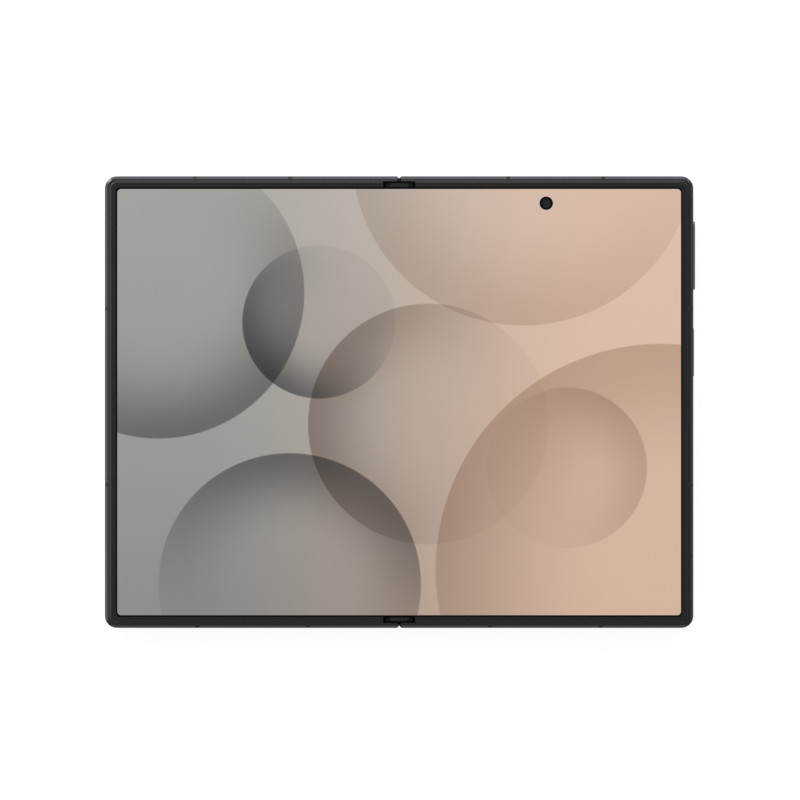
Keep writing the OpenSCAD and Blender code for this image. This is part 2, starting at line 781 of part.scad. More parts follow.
// Everything cut from the main frame beyond what both frames share
module main_cuts() {
    port_w_out = port_w + 2 * port_wall;
    translate([0, volume_y, key_z]) difference() {
        key_cut(volume_len);
        difference() {
            block([key_floor_x, -0.9, -3], [rocker_x - 0.2, 0.9, 3]);
            translate([rocker_x, 0, -4]) cylinder(r = rocker_r + rail_gap, h = 8);
        }
    }
    translate([0, power_y, key_z]) key_cut(power_len);
    along_y(-half_len - 1, port_depth + 1.2) translate([port_x, port_z])
        pill(port_w_out + 2 * fit, port_outer_h + 2 * fit);
    mirror([0, 1, 0]) {
        sound_holes(main_sound_x, 5);
        sound_holes(main_mic_x, 1);
    }
    sound_holes(top_mic_x, 1);
    translate([selfie_at[0], selfie_at[1], mid_bottom - 1]) cylinder(r = selfie_r, h = mid_t + 2);
}

// Everything cut from the cover frame beyond what both frames share
module cover_cuts() {
    z1 = glass_t + cover_panel_t + 0.05;
    block([panel_x0 - 0.1, -bay_y1, glass_t - 0.2], [bay_x0 + 1, bay_y1, z1]);
    sound_holes(earpiece_x, 4);
    mirror([0, 1, 0]) sound_holes(cover_sound_x, 5);
    tray_cut();
}

// Slot for the card tray: a wide mouth in the rim and a narrower channel behind it
module tray_cut() {
    mouth_w = tray_w + 2 * tray_lip + 2 * key_gap;
    mouth_h = tray_front_h + 2 * key_gap;
    along_y(-half_len - 1, 1 + tray_front_t + 0.05) translate([tray_x, tray_z])
        pill(mouth_w, mouth_h);
    block([tray_x - tray_w / 2 - key_gap, -half_len + 1, tray_z - tray_t / 2 - key_gap],
        [tray_x + tray_w / 2 + key_gap, -bay_y1 + 1, tray_z + tray_t / 2 + key_gap]);
}

module main_frame() {
    color(frame_grey) lifted() difference() {
        bare_frame(slot_main);
        main_cuts();
    }
}

module main_trim() { color(trim_black) lifted() trim(); }

module main_display() {
    color(screen_grey) lifted() difference() {
        display_flat();
        translate([selfie_at[0], selfie_at[1], 0]) cylinder(r = selfie_r, h = body_t);
    }
}

module main_support_plate() { color(steel) lifted() support_plate(); }

// Pill round the two rear cameras
module camera_pill(r, z0, z1) {
    translate([0, 0, z0]) linear_extrude(z1 - z0) {
        for (p = cam_at) translate(p) circle(r);
        translate([cam_x - r, cam_y - cam_pitch]) square([2 * r, cam_pitch]);
    }
}

// The deck outside the back glass, with a round lower edge
module camera_deck_body() {
    e = deck_edge_r;
    mirror([0, 0, 1]) {
        for (p = cam_at) translate(p) rotate_extrude() head_section(deck_r, 0, deck_h, e);
        along_y(cam_y - cam_pitch, cam_pitch) translate([cam_x, 0]) for (s = [0, 1])
            mirror([s, 0]) head_section(deck_r, 0, deck_h, e);
    }
}

module back_glass() {
    color("#3a3c44") lifted() difference() {
        back_pane();
        camera_pill(spigot_r + fit, -1, 1);
        translate([flash_at[0], flash_at[1], -1]) cylinder(r = flash_r + fit, h = 2);
    }
}

module camera_deck() {
    color(frame_grey) lifted() difference() {
        union() {
            camera_deck_body();
            camera_pill(spigot_r, -0.1, glass_t + 0.1);
        }
        for (p = cam_at) translate([p[0], p[1], 0]) {
            translate([0, 0, -deck_h - 1]) cylinder(r = ring_r + fit, h = 1 + ring_depth);
            translate([0, 0, -deck_h - 1]) cylinder(r = barrel_r + key_gap, h = deck_h + 3);
        }
    }
}

module lens_rings() {
    color("#2b2c30") lifted() for (p = cam_at) translate([p[0], p[1], -bump_h]) difference() {
        cylinder(r = ring_r, h = ring_proud + ring_depth);
        translate([0, 0, -1]) cylinder(r = lens_r, h = ring_proud + ring_depth + 2);
    }
}

module lens_glass() {
    color("#0d0f14") lifted() for (p = cam_at) translate([p[0], p[1], -bump_h + lens_sunk])
        cylinder(r = lens_r - fit, h = ring_proud + ring_depth - lens_sunk);
}

module camera_barrels() {
    color("#17181b") lifted() for (p = cam_at) translate([p[0], p[1], 0]) {
        z0 = -deck_h + ring_depth;
        translate([0, 0, z0]) cylinder(r = barrel_r, h = module_z - z0 + 0.1);
        block([-module_half, -module_half, module_z], [module_half, module_half, mid_bottom]);
    }
}

module flash_window() {
    color("#f3ead2") lifted() translate([flash_at[0], flash_at[1], 0]) cylinder(r = flash_r, h = glass_t);
}

module flash_module() {
    color("#e9e2c8") lifted() translate([flash_at[0], flash_at[1], 0])
        block([-flash_r - 0.2, -flash_r - 0.2, glass_t], [flash_r + 0.2, flash_r + 0.2, board_bottom]);
}

module front_camera() {
    color("#141416") lifted() translate([selfie_at[0], selfie_at[1], 0]) {
        block([-selfie_half, -selfie_half, selfie_body_z], [selfie_half, selfie_half, mid_bottom]);
        difference() {
            translate([0, 0, mid_bottom - 0.1])
                cylinder(r = selfie_r - selfie_gap, h = display_top - mid_bottom - 0.05);
            translate([0, 0, display_top - 0.35]) cylinder(r = 0.9, h = 1);
        }
    }
}

// Plan of the main circuit board, drawn in by inset
module board_plan(inset) {
    difference() {
        union() {
            translate([board_x0 + inset, board_y0 + inset])
                square([board_x1 - board_x0 - 2 * inset, board_y1 - board_y0 - 2 * inset]);
            translate([board_x0 + inset, board_y0 + inset])
                square([bay_x1 - 0.7 - board_x0 - 2 * inset, board_tail - 2 * inset]);
        }
        translate([selfie_at[0] - selfie_room - inset, selfie_at[1] - selfie_room - inset])
            square([2 * (selfie_room + inset), 3 * selfie_room]);
    }
}

module main_board() {
    color(board_green) lifted() translate([0, 0, board_bottom]) linear_extrude(board_t) board_plan(0);
}

module shield_cans() {
    color(steel) lifted() for (x = [[board_x0 + 1, selfie_at[0] - 4.3], [selfie_at[0] + 4.3, board_x1 - 1]])
        block([x[0], board_y0 + 1.5, board_top], [x[1], board_y1 - 1.5, board_top + shield_t]);
}

module heat_spreader() {
    color(copper) lifted() translate([0, 0, mid_bottom - spreader_t])
        linear_extrude(spreader_t) board_plan(0.5);
}

module main_battery() {
    color("#2a2b2e") lifted()
        block([battery_x0, main_battery_y0, mid_bottom - main_battery_t],
            [battery_x1, board_y0 - part_gap, mid_bottom]);
}

module charging_coil() {
    z1 = mid_bottom - main_battery_t;
    color(copper) lifted() translate([(battery_x0 + battery_x1) / 2,
        (main_battery_y0 + board_y0) / 2, z1 - coil_t]) difference() {
        cylinder(r = coil_r, h = coil_t);
        translate([0, 0, -1]) cylinder(r = coil_r / 2, h = 2);
    }
}

module usb_board() {
    color(board_green) lifted()
        block([port_x - usb_board_left, -port_inner_y, mid_bottom - board_t],
            [port_x + usb_board_right, main_battery_y0 - part_gap, mid_bottom]);
}

// Shell of the charging port, at the lower end of the main half
module usb_port_shell() {
    color(steel) lifted() along_y(-half_len + 0.1, port_depth - 0.1) translate([port_x, port_z])
        difference() {
        pill(port_w + 2 * port_wall, port_outer_h);
        pill(port_w, port_h);
    }
}

module usb_tongue() {
    base = 1.2;
    y1 = -half_len + port_depth;
    color("#101012") lifted() {
        along_y(y1 - base, base) translate([port_x, port_z])
            pill(port_w - 2 * fit, port_h - 2 * fit);
        block([port_x - 3.35, -half_len + 1.3, port_z - 0.35], [port_x + 3.35, y1 - 0.5, port_z + 0.35]);
        block([port_x - 3, y1 - 0.1, port_z], [port_x + 3, y1 + 1.2, mid_bottom - board_t]);
    }
}

module main_speaker() {
    color("#1b1c1f") lifted()
        block([port_x + usb_board_right + part_gap, -bay_y1 + 0.1, glass_t + 0.3],
            [bay_x1 - 0.5, main_battery_y0 - part_gap, mid_bottom]);
}

module vibration_motor() {
    color(steel) lifted() translate([0, 0, mid_bottom - motor_t]) linear_extrude(motor_t)
        round_rect([motor_x0, -bay_y1 + motor_gap],
            [port_x - usb_board_left - motor_gap, main_battery_y0 - 2 * part_gap], 2);
}

module main_antenna_strips() { color("#5c5e68") lifted() antenna_strips(); }

// Magnets that hold the phone shut
module magnets() {
    for (y = magnet_y) block([bay_x1 - 0.1 - magnet_w, y - magnet_len / 2, mid_bottom - magnet_t],
        [bay_x1 - 0.1, y + magnet_len / 2, mid_bottom]);
}

module main_magnets() { color("#8d8f94") lifted() magnets(); }

module key_switches() {
    pad_h = 0.9;
    pad_t = 0.15;
    volume_pad = volume_len / 4 - 1.5;
    color("#c9a25c") lifted() {
        for (p = [[volume_y - switch_y, volume_pad], [volume_y + switch_y, volume_pad],
            [power_y, power_len / 2 - 1]]) translate([key_floor_x, p[0], key_z]) {
            block([0, -p[1], -pad_h], [pad_t, p[1], pad_h]);
            translate([pad_t - 0.05, 0, 0]) rotate([0, 90, 0]) cylinder(r = 0.8, h = switch_h - pad_t + 0.05);
        }
    }
}

module main_swing_brackets() { color(steel) lifted() swing_brackets(slot_main); }

module main_bracket_screws() { color("#9a9ca2") lifted() bracket_screw_set(slot_main); }

module main_arm_guides() { color(steel) lifted() arm_guides(); }

module volume_key() {
    color(frame_grey) lifted() translate([0, volume_y, key_z]) {
        key_body(volume_len, volume_proud, rocker_play);
        translate([rocker_x, 0, -key_h / 2]) cylinder(r = rocker_r, h = key_h);
        for (s = [-1, 1]) translate([volume_stub_x, s * switch_y, 0]) rotate([0, 90, 0])
            cylinder(r = stub_r, h = rocker_x - volume_stub_x + 0.1);
    }
}

module power_key() {
    flange_x = half_w - key_wall - key_rest - key_flange_t;
    color(frame_grey) lifted() translate([0, power_y, key_z]) {
        key_body(power_len, power_proud, key_rest);
        translate([power_stub_x, 0, 0]) rotate([0, 90, 0])
            cylinder(r = stub_r, h = flange_x - power_stub_x + 0.1);
    }
}

module cover_frame() {
    color(frame_grey) lifted() cover_side() difference() {
        bare_frame(slot_cover);
        cover_cuts();
    }
}

module cover_trim() { color(trim_black) lifted() cover_side() trim(); }

module cover_display() { color(screen_grey) lifted() cover_side() display_flat(); }

module cover_support_plate() { color(steel) lifted() cover_side() support_plate(); }

module cover_glass() { color("#0b0b0d") lifted() cover_side() back_pane(); }

module cover_panel() {
    color("#15161a") lifted() cover_side() difference() {
        block([panel_x0, -bay_y1 + 0.15, glass_t], [bay_x1 - 0.1, bay_y1 - 0.15, glass_t + cover_panel_t]);
        translate([cover_cam[0], cover_cam[1], 0]) cylinder(r = 1.9, h = 2);
    }
}

module cover_camera() {
    color("#141416") lifted() cover_side() translate([cover_cam[0], cover_cam[1], 0]) {
        translate([0, 0, glass_t]) cylinder(r = 1.8, h = 1);
        block([-2.6, -2.6, glass_t + cover_panel_t + 0.2], [2.6, 2.6, mid_bottom]);
    }
}

module cover_battery() {
    color("#2a2b2e") lifted() cover_side() block([battery_x0, cover_battery_y0, mid_bottom - battery_t],
        [battery_x1, board_y0 - part_gap, mid_bottom]);
}

module cover_board() {
    color(board_green) lifted() cover_side()
        block([board_x0, board_y0, mid_bottom - board_t], [bay_x1 - 3, cover_board_y1, mid_bottom]);
}

module earpiece() {
    color("#1b1c1f") lifted() cover_side()
        block([earpiece_x - earpiece_half, cover_board_y1 + part_gap, mid_bottom - sounder_t],
            [earpiece_x + earpiece_half, bay_y1 - 0.1, mid_bottom]);
}

module cover_speaker() {
    color("#1b1c1f") lifted() cover_side()
        block([cover_sound_x - speaker_w / 2, -bay_y1 + 0.1, mid_bottom - sounder_t],
            [cover_sound_x + speaker_w / 2, cover_battery_y0 - part_gap, mid_bottom]);
}

module cover_antenna_strips() { color("#5c5e68") lifted() cover_side() antenna_strips(); }

module cover_magnets() { color("#8d8f94") lifted() cover_side() magnets(); }

module cover_swing_brackets() { color(steel) lifted() cover_side() swing_brackets(slot_cover); }

module cover_bracket_screws() { color("#9a9ca2") lifted() cover_side() bracket_screw_set(slot_cover); }

module cover_arm_guides() { color(steel) lifted() cover_side() arm_guides(); }

// Card tray: a front that closes the mouth of the slot, and a plate with two card beds
module card_tray() {
    front_w = tray_w + 2 * tray_lip;
    z0 = tray_z - tray_t / 2;
    color(frame_grey) lifted() cover_side() difference() {
        union() {
            along_y(-half_len, tray_front_t) translate([tray_x, tray_z])
                pill(front_w, tray_front_h);
            block([tray_x - tray_w / 2, -half_len + tray_front_t - 0.1, z0],
                [tray_x + tray_w / 2, -half_len + tray_len, z0 + tray_t]);
        }
        translate([tray_x - tray_w / 2 + 1.4, -half_len + 9.5, z0 + 0.45])
            cube([tray_w - 2.8, tray_len - 11, tray_t]);
        translate([tray_x + tray_w / 2, -half_len - 1, tray_z]) rotate([-90, 0, 0]) cylinder(r = 0.4, h = 4);
    }
}

module card_reader() {
    half = tray_w / 2 + key_gap;
    wall = 0.5;
    y1 = -half_len + tray_len + 1.2;
    z0 = tray_z - tray_t / 2 - key_gap;
    color(steel) lifted() cover_side() difference() {
        block([tray_x - half - wall, -bay_y1 + 0.1, z0 - 0.3], [tray_x + half + wall, y1, mid_bottom]);
        block([tray_x - half, -bay_y1 - 1, z0], [tray_x + half, y1 - wall, mid_bottom + 1]);
    }
}

module spine_cover() {
    color(frame_grey) lifted() difference() {
        along_y(-spine_len / 2, spine_len) difference() {
            spine_section(spine_r, spine_top);
            spine_section(spine_in_r, spine_top + 1);
        }
        for (y = block_screw_rows()) translate([0, y, floor_z - spine_wall + 0.15])
            cylinder(r = block_screw_r, h = 1);
    }
}

// Bar across the fold with round outer corners, half_w to each side, from y0 to y1 and z0 to z1
module cap_bar(half_w, y0, y1, z0, z1) {
    translate([0, 0, z0]) linear_extrude(z1 - z0) difference() {
        translate([-half_w, y0]) square([2 * half_w, y1 - y0]);
        for (s = [0, 1]) mirror([s, 0]) translate([-half_w, y1]) corner_cut(cap_corner_r);
    }
}

// Caps that close the ends of the spine, each with a lip over the spine's walls and a raised middle
module spine_end_caps() {
    y0 = spine_len / 2 - cap_t;
    y1 = spine_len / 2;
    step_z = display_top - cap_step_drop;
    color("#35363c") lifted() both_ends() {
        along_y(y0, cap_t) {
            spine_section(spine_in_r - fit, block_top);
            difference() {
                spine_section(spine_r, spine_top + cap_lip_t);
                translate([-10, 0]) square([20, spine_top + fit]);
            }
        }
        cap_bar(cap_half_w, y0, y1 - cap_end_gap, spine_top + 0.3, step_z);
        cap_bar(cap_mid_half_w, y0, y1 - cap_end_gap - 0.1, step_z - 0.5, step_z + cap_rise);
    }
}

module hinge_blocks() {
    floor_keep = 0.25;
    gear_block_end = block_y + gear_block_len;
    color("#6d6f76") lifted() difference() {
        union() {
            both_ends() along_y(block_y, gear_block_len) spine_section(spine_in_r - fit, block_top);
            along_y(-plain_block_len / 2, plain_block_len) spine_section(spine_in_r - fit, block_top);
        }
        rail_slots(slot_main, axis_x);
        rail_slots(slot_cover, -axis_x);
        both_ends() for (s = [[slot_gear, gear_slot_w], [slot_disc, disc_slot_w]])
            block([-5, block_y + s[0], floor_z + floor_keep], [5, block_y + s[0] + s[1], block_top + 1]);
        both_ends()
            shaft_set(shaft_r + fit, block_y + slot_gear - cheek_w + 0.2, gear_block_end - land_w + 0.6);
        for (y = block_screw_rows()) translate([0, y, 0]) {
            cylinder(r = block_screw_r + fit, h = body_t);
            translate([0, 0, block_top - screw_head_h]) cylinder(r = block_head_r + fit, h = 2);
        }
    }
}

module block_screws() {
    color("#9a9ca2") lifted() for (y = block_screw_rows()) translate([0, y, 0])
        flat_screw(floor_z - spine_wall + 0.2, block_top);
}

module gear_shafts() {
    color("#c7c9ce") lifted() both_ends()
        shaft_set(shaft_r, block_y + slot_gear - cheek_w + 0.25, block_y + gear_block_len - land_w + 0.5);
}

// Packs of washers on the gear shafts, whose drag holds the phone at any angle
module friction_discs() {
    y0 = block_y + slot_disc + 0.15 + disc_t;
    color("#b9a36a") lifted() both_ends() for (i = [0 : disc_count - 1], s = [-1, 1], x = gear_x)
        translate([s * x, y0 + i * disc_pitch, gear_z]) rotate([90, 0, 0]) difference() {
            cylinder(r = gear_pitch_r - 0.04, h = disc_t);
            translate([0, 0, -1]) cylinder(r = shaft_r + fit, h = disc_t + 2);
        }
}

module display_fold() {
    y1 = spine_len / 2 - cap_t - fold_play;
    color(screen_grey) lifted()
        block([-fold_half + fold_play, -y1, mid_top], [fold_half - fold_play, y1, display_top]);
}

module hinge_ribbons() {
    color("#a8742c") lifted() for (s = [-1, 1]) translate([0, s * (ribbon_y + ribbon_w / 2), 0])
        block([-ribbon_half, -ribbon_w / 2, ribbon_z], [ribbon_half, ribbon_w / 2, ribbon_z + ribbon_t]);
}

module main_timing_arms() { color("#b7b9bf") lifted() timing_arms(0); }

module main_idler_gears() { color("#b7b9bf") lifted() gear_pair(gear_x[0], 180 / gear_teeth); }

module cover_timing_arms() { color("#b7b9bf") lifted() cover_side() timing_arms(180 / gear_teeth); }

module cover_idler_gears() { color("#b7b9bf") lifted() cover_side() gear_pair(gear_x[0], 0); }

main_frame();
main_trim();
main_display();
main_support_plate();
back_glass();
camera_deck();
lens_rings();
lens_glass();
camera_barrels();
flash_window();
flash_module();
front_camera();
main_board();
shield_cans();
heat_spreader();
main_battery();
charging_coil();
usb_board();
usb_port_shell();
usb_tongue();
main_speaker();
vibration_motor();
main_antenna_strips();
main_magnets();
key_switches();
main_swing_brackets();
main_bracket_screws();
main_arm_guides();
volume_key();
power_key();
cover_frame();
cover_trim();
cover_display();
cover_support_plate();
cover_glass();
cover_panel();
cover_camera();
cover_battery();
cover_board();
earpiece();
cover_speaker();
cover_antenna_strips();
cover_magnets();
cover_swing_brackets();
cover_bracket_screws();
cover_arm_guides();
card_tray();
card_reader();
spine_cover();
spine_end_caps();
hinge_blocks();
block_screws();
gear_shafts();
friction_discs();
display_fold();
hinge_ribbons();
main_timing_arms();
main_idler_gears();
cover_timing_arms();
cover_idler_gears();
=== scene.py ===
"""Looks of a foldable smartphone that lies open with its large folding screen up."""
import logging
import math
from dataclasses import dataclass, field
from enum import Enum
from functools import cache
from typing import Any, Callable, Optional, Sequence, Union

import bmesh
import bpy
from bmesh.types import BMesh
from bpy.types import ColorRamp, ID, Material, Mesh, Node, NodeSocket, NodeTree, Object
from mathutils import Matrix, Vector


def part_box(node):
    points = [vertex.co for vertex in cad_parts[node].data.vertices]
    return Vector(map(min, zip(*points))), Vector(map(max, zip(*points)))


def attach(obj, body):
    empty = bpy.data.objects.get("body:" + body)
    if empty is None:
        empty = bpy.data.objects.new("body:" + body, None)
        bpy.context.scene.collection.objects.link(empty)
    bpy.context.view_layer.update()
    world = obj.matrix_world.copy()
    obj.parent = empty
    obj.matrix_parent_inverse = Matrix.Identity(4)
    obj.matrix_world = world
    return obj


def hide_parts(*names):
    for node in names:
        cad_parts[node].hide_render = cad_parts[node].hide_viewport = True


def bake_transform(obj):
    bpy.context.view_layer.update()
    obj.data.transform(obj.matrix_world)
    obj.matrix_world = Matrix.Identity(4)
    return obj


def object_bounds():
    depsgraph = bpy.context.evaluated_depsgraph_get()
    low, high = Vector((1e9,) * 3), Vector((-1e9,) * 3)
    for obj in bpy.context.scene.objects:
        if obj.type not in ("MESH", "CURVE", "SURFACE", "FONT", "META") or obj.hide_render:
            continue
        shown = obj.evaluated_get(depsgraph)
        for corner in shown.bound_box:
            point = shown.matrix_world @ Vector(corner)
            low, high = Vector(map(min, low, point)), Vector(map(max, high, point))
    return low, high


logging.basicConfig(level=logging.INFO, format="%(name)s: %(message)s")
LOG = logging.getLogger("phone")
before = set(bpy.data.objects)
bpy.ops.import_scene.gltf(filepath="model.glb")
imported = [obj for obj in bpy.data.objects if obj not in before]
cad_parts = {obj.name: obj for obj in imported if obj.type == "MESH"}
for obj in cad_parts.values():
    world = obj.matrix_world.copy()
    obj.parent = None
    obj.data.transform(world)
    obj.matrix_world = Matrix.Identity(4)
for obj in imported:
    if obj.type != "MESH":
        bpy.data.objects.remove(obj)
CAD_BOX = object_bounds()

MM = 0.001
Rgb = tuple[float, float, float]
Rgba = tuple[float, float, float, float]
Point = tuple[float, float, float]
Pair = tuple[float, float]


def linear(rgb: Rgb) -> Rgba:
    """Turns a colour of 0 to 255 per channel into scene-linear values with alpha.

    Args:
        rgb: Red, green and blue as they show on a display.

    Returns:
        The linear colour, with an alpha of 1.
    """
    parts = [c / 255 for c in rgb]
    lin = [c / 12.92 if c <= 0.04045 else ((c + 0.055) / 1.055) ** 2.4 for c in parts]
    return (lin[0], lin[1], lin[2], 1.0)


# ---------- node trees


def operator(operation: str, reflected: bool = False) -> Callable[["Sock", "Operand"], "Sock"]:
    """Makes the method behind one of a socket's operators.

    Args:
        operation: Operation of the Math or Vector Math node that it adds.
        reflected: Whether the socket is the right operand.

    Returns:
        The method.
    """
    def method(self: "Sock", other: "Operand") -> "Sock":
        """Adds the node and returns its result."""
        return self.owner.operate(operation, *((other, self) if reflected else (self, other)))

    return method


@dataclass(frozen=True)
class Sock:
    """An output socket that takes part in arithmetic, adding the nodes that it needs."""

    owner: "Nodes"
    out: NodeSocket

    __add__, __radd__ = operator("ADD"), operator("ADD", reflected=True)
    __sub__, __rsub__ = operator("SUBTRACT"), operator("SUBTRACT", reflected=True)
    __mul__, __rmul__ = operator("MULTIPLY"), operator("MULTIPLY", reflected=True)
    __truediv__, __rtruediv__ = operator("DIVIDE"), operator("DIVIDE", reflected=True)
    __pow__ = operator("POWER")

    def is_vector(self) -> bool:
        """Tells whether the socket carries a vector or a colour."""
        return self.out.type in ("VECTOR", "RGBA")


Operand = Union[Sock, float, int, Sequence[float]]


class Nodes:
    """A node tree that grows by one method, for a material, the world or a mesh."""

    def __init__(self, tree: NodeTree) -> None:
        """Keeps the tree."""
        self.tree = tree

    def add(self, kind: str, settings: Optional[dict[str, Any]] = None,
            sockets: Optional[dict[Union[str, int], Any]] = None) -> Node:
        """Adds any node.

        Args:
            kind: Type of the node.
            settings: Properties of the node, set first. The key stops gives a ramp's stops.
            sockets: Values or links of its input sockets, by name or index.

        Returns:
            The new node.
        """
        node = self.tree.nodes.new(kind)
        for key, value in (settings or {}).items():
            if key == "stops":
                self._set_stops(node.color_ramp, value)
            else:
                setattr(node, key, value)
        for key, value in (sockets or {}).items():
            self.feed(node.inputs[key], value)
        return node

    @staticmethod
    def _set_stops(ramp: ColorRamp, stops: Sequence[tuple[float, Rgba]]) -> None:
        """Sets a colour ramp's stops.

        Args:
            ramp: The ramp.
            stops: Pairs of position and linear colour.
        """
        while len(ramp.elements) < len(stops):
            ramp.elements.new(1.0)
        for element, (position, colour) in zip(ramp.elements, stops):
            element.position, element.color = position, colour

    def feed(self, socket: NodeSocket, value: Any) -> None:
        """Links an input socket or sets its own value.

        Args:
            socket: The socket.
            value: A Sock to link, a plain value, or None to leave it as it is.
        """
        if isinstance(value, Sock):
            self.tree.links.new(value.out, socket)
        elif value is not None:
            socket.default_value = value

    def sock(self, node: Node, output: Union[str, int] = 0) -> Sock:
        """Wraps one output of a node."""
        return Sock(self, node.outputs[output])

    def operate(self, operation: str, first: Operand, second: Operand) -> Sock:
        """Adds a Math node, or a Vector Math node where an operand is a vector.

        Args:
            operation: The node's operation.
            first: Left operand.
            second: Right operand.

        Returns:
            The result.
        """
        if not any(isinstance(v, Sock) and v.is_vector() for v in (first, second)):
            return self.math(operation, first, second)
        three = [v if isinstance(v, Sock) else (v,) * 3 if isinstance(v, (int, float)) else tuple(v)[:3]
                 for v in (first, second)]
        return self.sock(self.add("ShaderNodeVectorMath", {"operation": operation}, dict(enumerate(three))))

    def math(self, operation: str, *values: Operand) -> Sock:
        """Adds a Math node with one to three operands."""
        return self.sock(self.add("ShaderNodeMath", {"operation": operation}, dict(enumerate(values))))

    def span(self, value: Operand, low: float, high: float) -> Sock:
        """Maps 0 to 1 onto low to high."""
        return self.sock(self.add("ShaderNodeMapRange", None, {0: value, 1: 0.0, 2: 1.0, 3: low, 4: high}))


class Graph(Nodes):
    """The node tree of one material, with a Principled shader at its end."""

    def __init__(self, name: str) -> None:
        """Makes an empty material.

        Args:
            name: Name of the material.
        """
        self.material = bpy.data.materials.new(name)
        self.material.use_nodes = True
        super().__init__(self.material.node_tree)
        self.tree.nodes.clear()
        self.surface = self.add("ShaderNodeOutputMaterial")
        self.shader = self.add("ShaderNodeBsdfPrincipled")
        self.feed(self.surface.inputs["Surface"], self.sock(self.shader))

    def clamp(self, value: Operand) -> Sock:
        """Keeps a value between 0 and 1."""
        return self.sock(self.add("ShaderNodeClamp", None, {0: value}))

    def step(self, value: Operand, low: float, high: float) -> Sock:
        """Rises smoothly from 0 at low to 1 at high."""
        return self.sock(self.add("ShaderNodeMapRange", {"interpolation_type": "SMOOTHSTEP"},
                                  {0: value, 1: low, 2: high, 3: 0.0, 4: 1.0}))

    def around(self, value: Operand, centre: float, share: float) -> Sock:
        """Maps 0 to 1 onto a share of centre below it to the same above it."""
        return self.span(value, centre * (1 - share), centre * (1 + share))

    def mix(self, factor: Operand, first: Any, second: Any, blend: str = "MIX") -> Sock:
        """Mixes two colours by a factor, in a blend mode."""
        return self.sock(self.add("ShaderNodeMix", {"data_type": "RGBA", "blend_type": blend},
                                  {0: factor, 6: first, 7: second}), 2)

    def mottled(self, factor: Operand, colour: Rgb, share: float) -> Sock:
        """Varies a colour from a share darker to the same lighter."""
        dark, light = (tuple(c * k for c in linear(colour)[:3]) + (1.0,) for k in (1 - share, 1 + share))
        return self.mix(factor, dark, light)

    def ramp(self, factor: Sock, *stops: tuple[float, Rgb]) -> Sock:
        """Colours a factor by stops of position and display colour."""
        scene = [(position, linear(rgb)) for position, rgb in stops]
        return self.sock(self.add("ShaderNodeValToRGB", {"stops": scene}, {0: factor}))

    def coordinates(self, centre: Point = (0, 0, 0), stretch: Point = (1, 1, 1)) -> Sock:
        """Object coordinates, centred on a point and stretched along each axis.

        Args:
            centre: The point that becomes the origin.
            stretch: Factor along each axis.

        Returns:
            The coordinates.
        """
        place = self.sock(self.add("ShaderNodeTexCoord"), "Object")
        shift = tuple(-c * s for c, s in zip(centre, stretch))
        return self.sock(self.add("ShaderNodeMapping", None, {
            0: place, "Location": shift, "Scale": stretch}))

    def parts(self, vector: Sock) -> tuple[Sock, ...]:
        """Splits a vector into its three parts."""
        node = self.add("ShaderNodeSeparateXYZ", None, {0: vector})
        return tuple(self.sock(node, i) for i in range(3))

    def length(self, x: Sock, y: Sock) -> Sock:
        """Length of the vector from x and y."""
        return self.math("SQRT", x * x + y * y)

    def radius(self, centre: Point) -> Sock:
        """Distance from the vertical through a point."""
        return self.length(*self.parts(self.coordinates(centre))[:2])

    def rounded(self, x: Sock, y: Sock, half: Pair, corner: float, soft: float) -> Sock:
        """Mask of a rectangle with round corners, centred on the origin.

        Args:
            x: First coordinate.
            y: Second coordinate.
            half: Half of its width and of its height.
            corner: Radius of its corners.
            soft: Width over which its edge fades.

        Returns:
            1 inside and 0 outside.
        """
        past = [self.math("MAXIMUM", self.math("ABSOLUTE", c) - (h - corner), 0.0)
                for c, h in zip((x, y), half)]
        return 1 - self.step(self.length(*past), corner - soft, corner)

    def noise(self, vector: Sock, size: float, detail: float = 2.0, rough: float = 0.5) -> Sock:
        """Noise of 0 to 1 whose features are about as large as size."""
        return self.sock(self.add("ShaderNodeTexNoise", None, {
            "Vector": vector, "Scale": 1 / size, "Detail": detail, "Roughness": rough}))

    def bump(self, height: Sock, depth: float, strength: float = 1.0) -> Sock:
        """Turns a height of 0 to 1 into a normal, depth metres high."""
        return self.sock(self.add("ShaderNodeBump", None, {
            "Strength": strength, "Distance": depth, "Height": height}))

    def principled(self, **sockets: Any) -> None:
        """Feeds the shader's sockets, named with underscores for spaces."""
        for key, value in sockets.items():
            self.feed(self.shader.inputs[key.replace("_", " ")], value)


# ---------- finishes


class Grain(Enum):
    """How the surface of a metal was left by its making."""

    BLASTED = (1.0, 1.0, 1.0)
    BRUSHED_X = (0.02, 1.0, 1.0)
    BRUSHED_Y = (1.0, 0.02, 1.0)
    TURNED = (1.0, 1.0, 0.05)


@dataclass(frozen=True)
class Finish:
    """A named surface finish."""

    name: str

    def paint(self, g: Graph) -> None:
        """Builds the finish in the graph of an empty material."""
        raise NotImplementedError


@cache
def dressed(finish: Finish) -> Material:
    """Builds a finish's material, once.

    Args:
        finish: The finish.

    Returns:
        Its material.
    """
    g = Graph(finish.name)
    finish.paint(g)
    return g.material


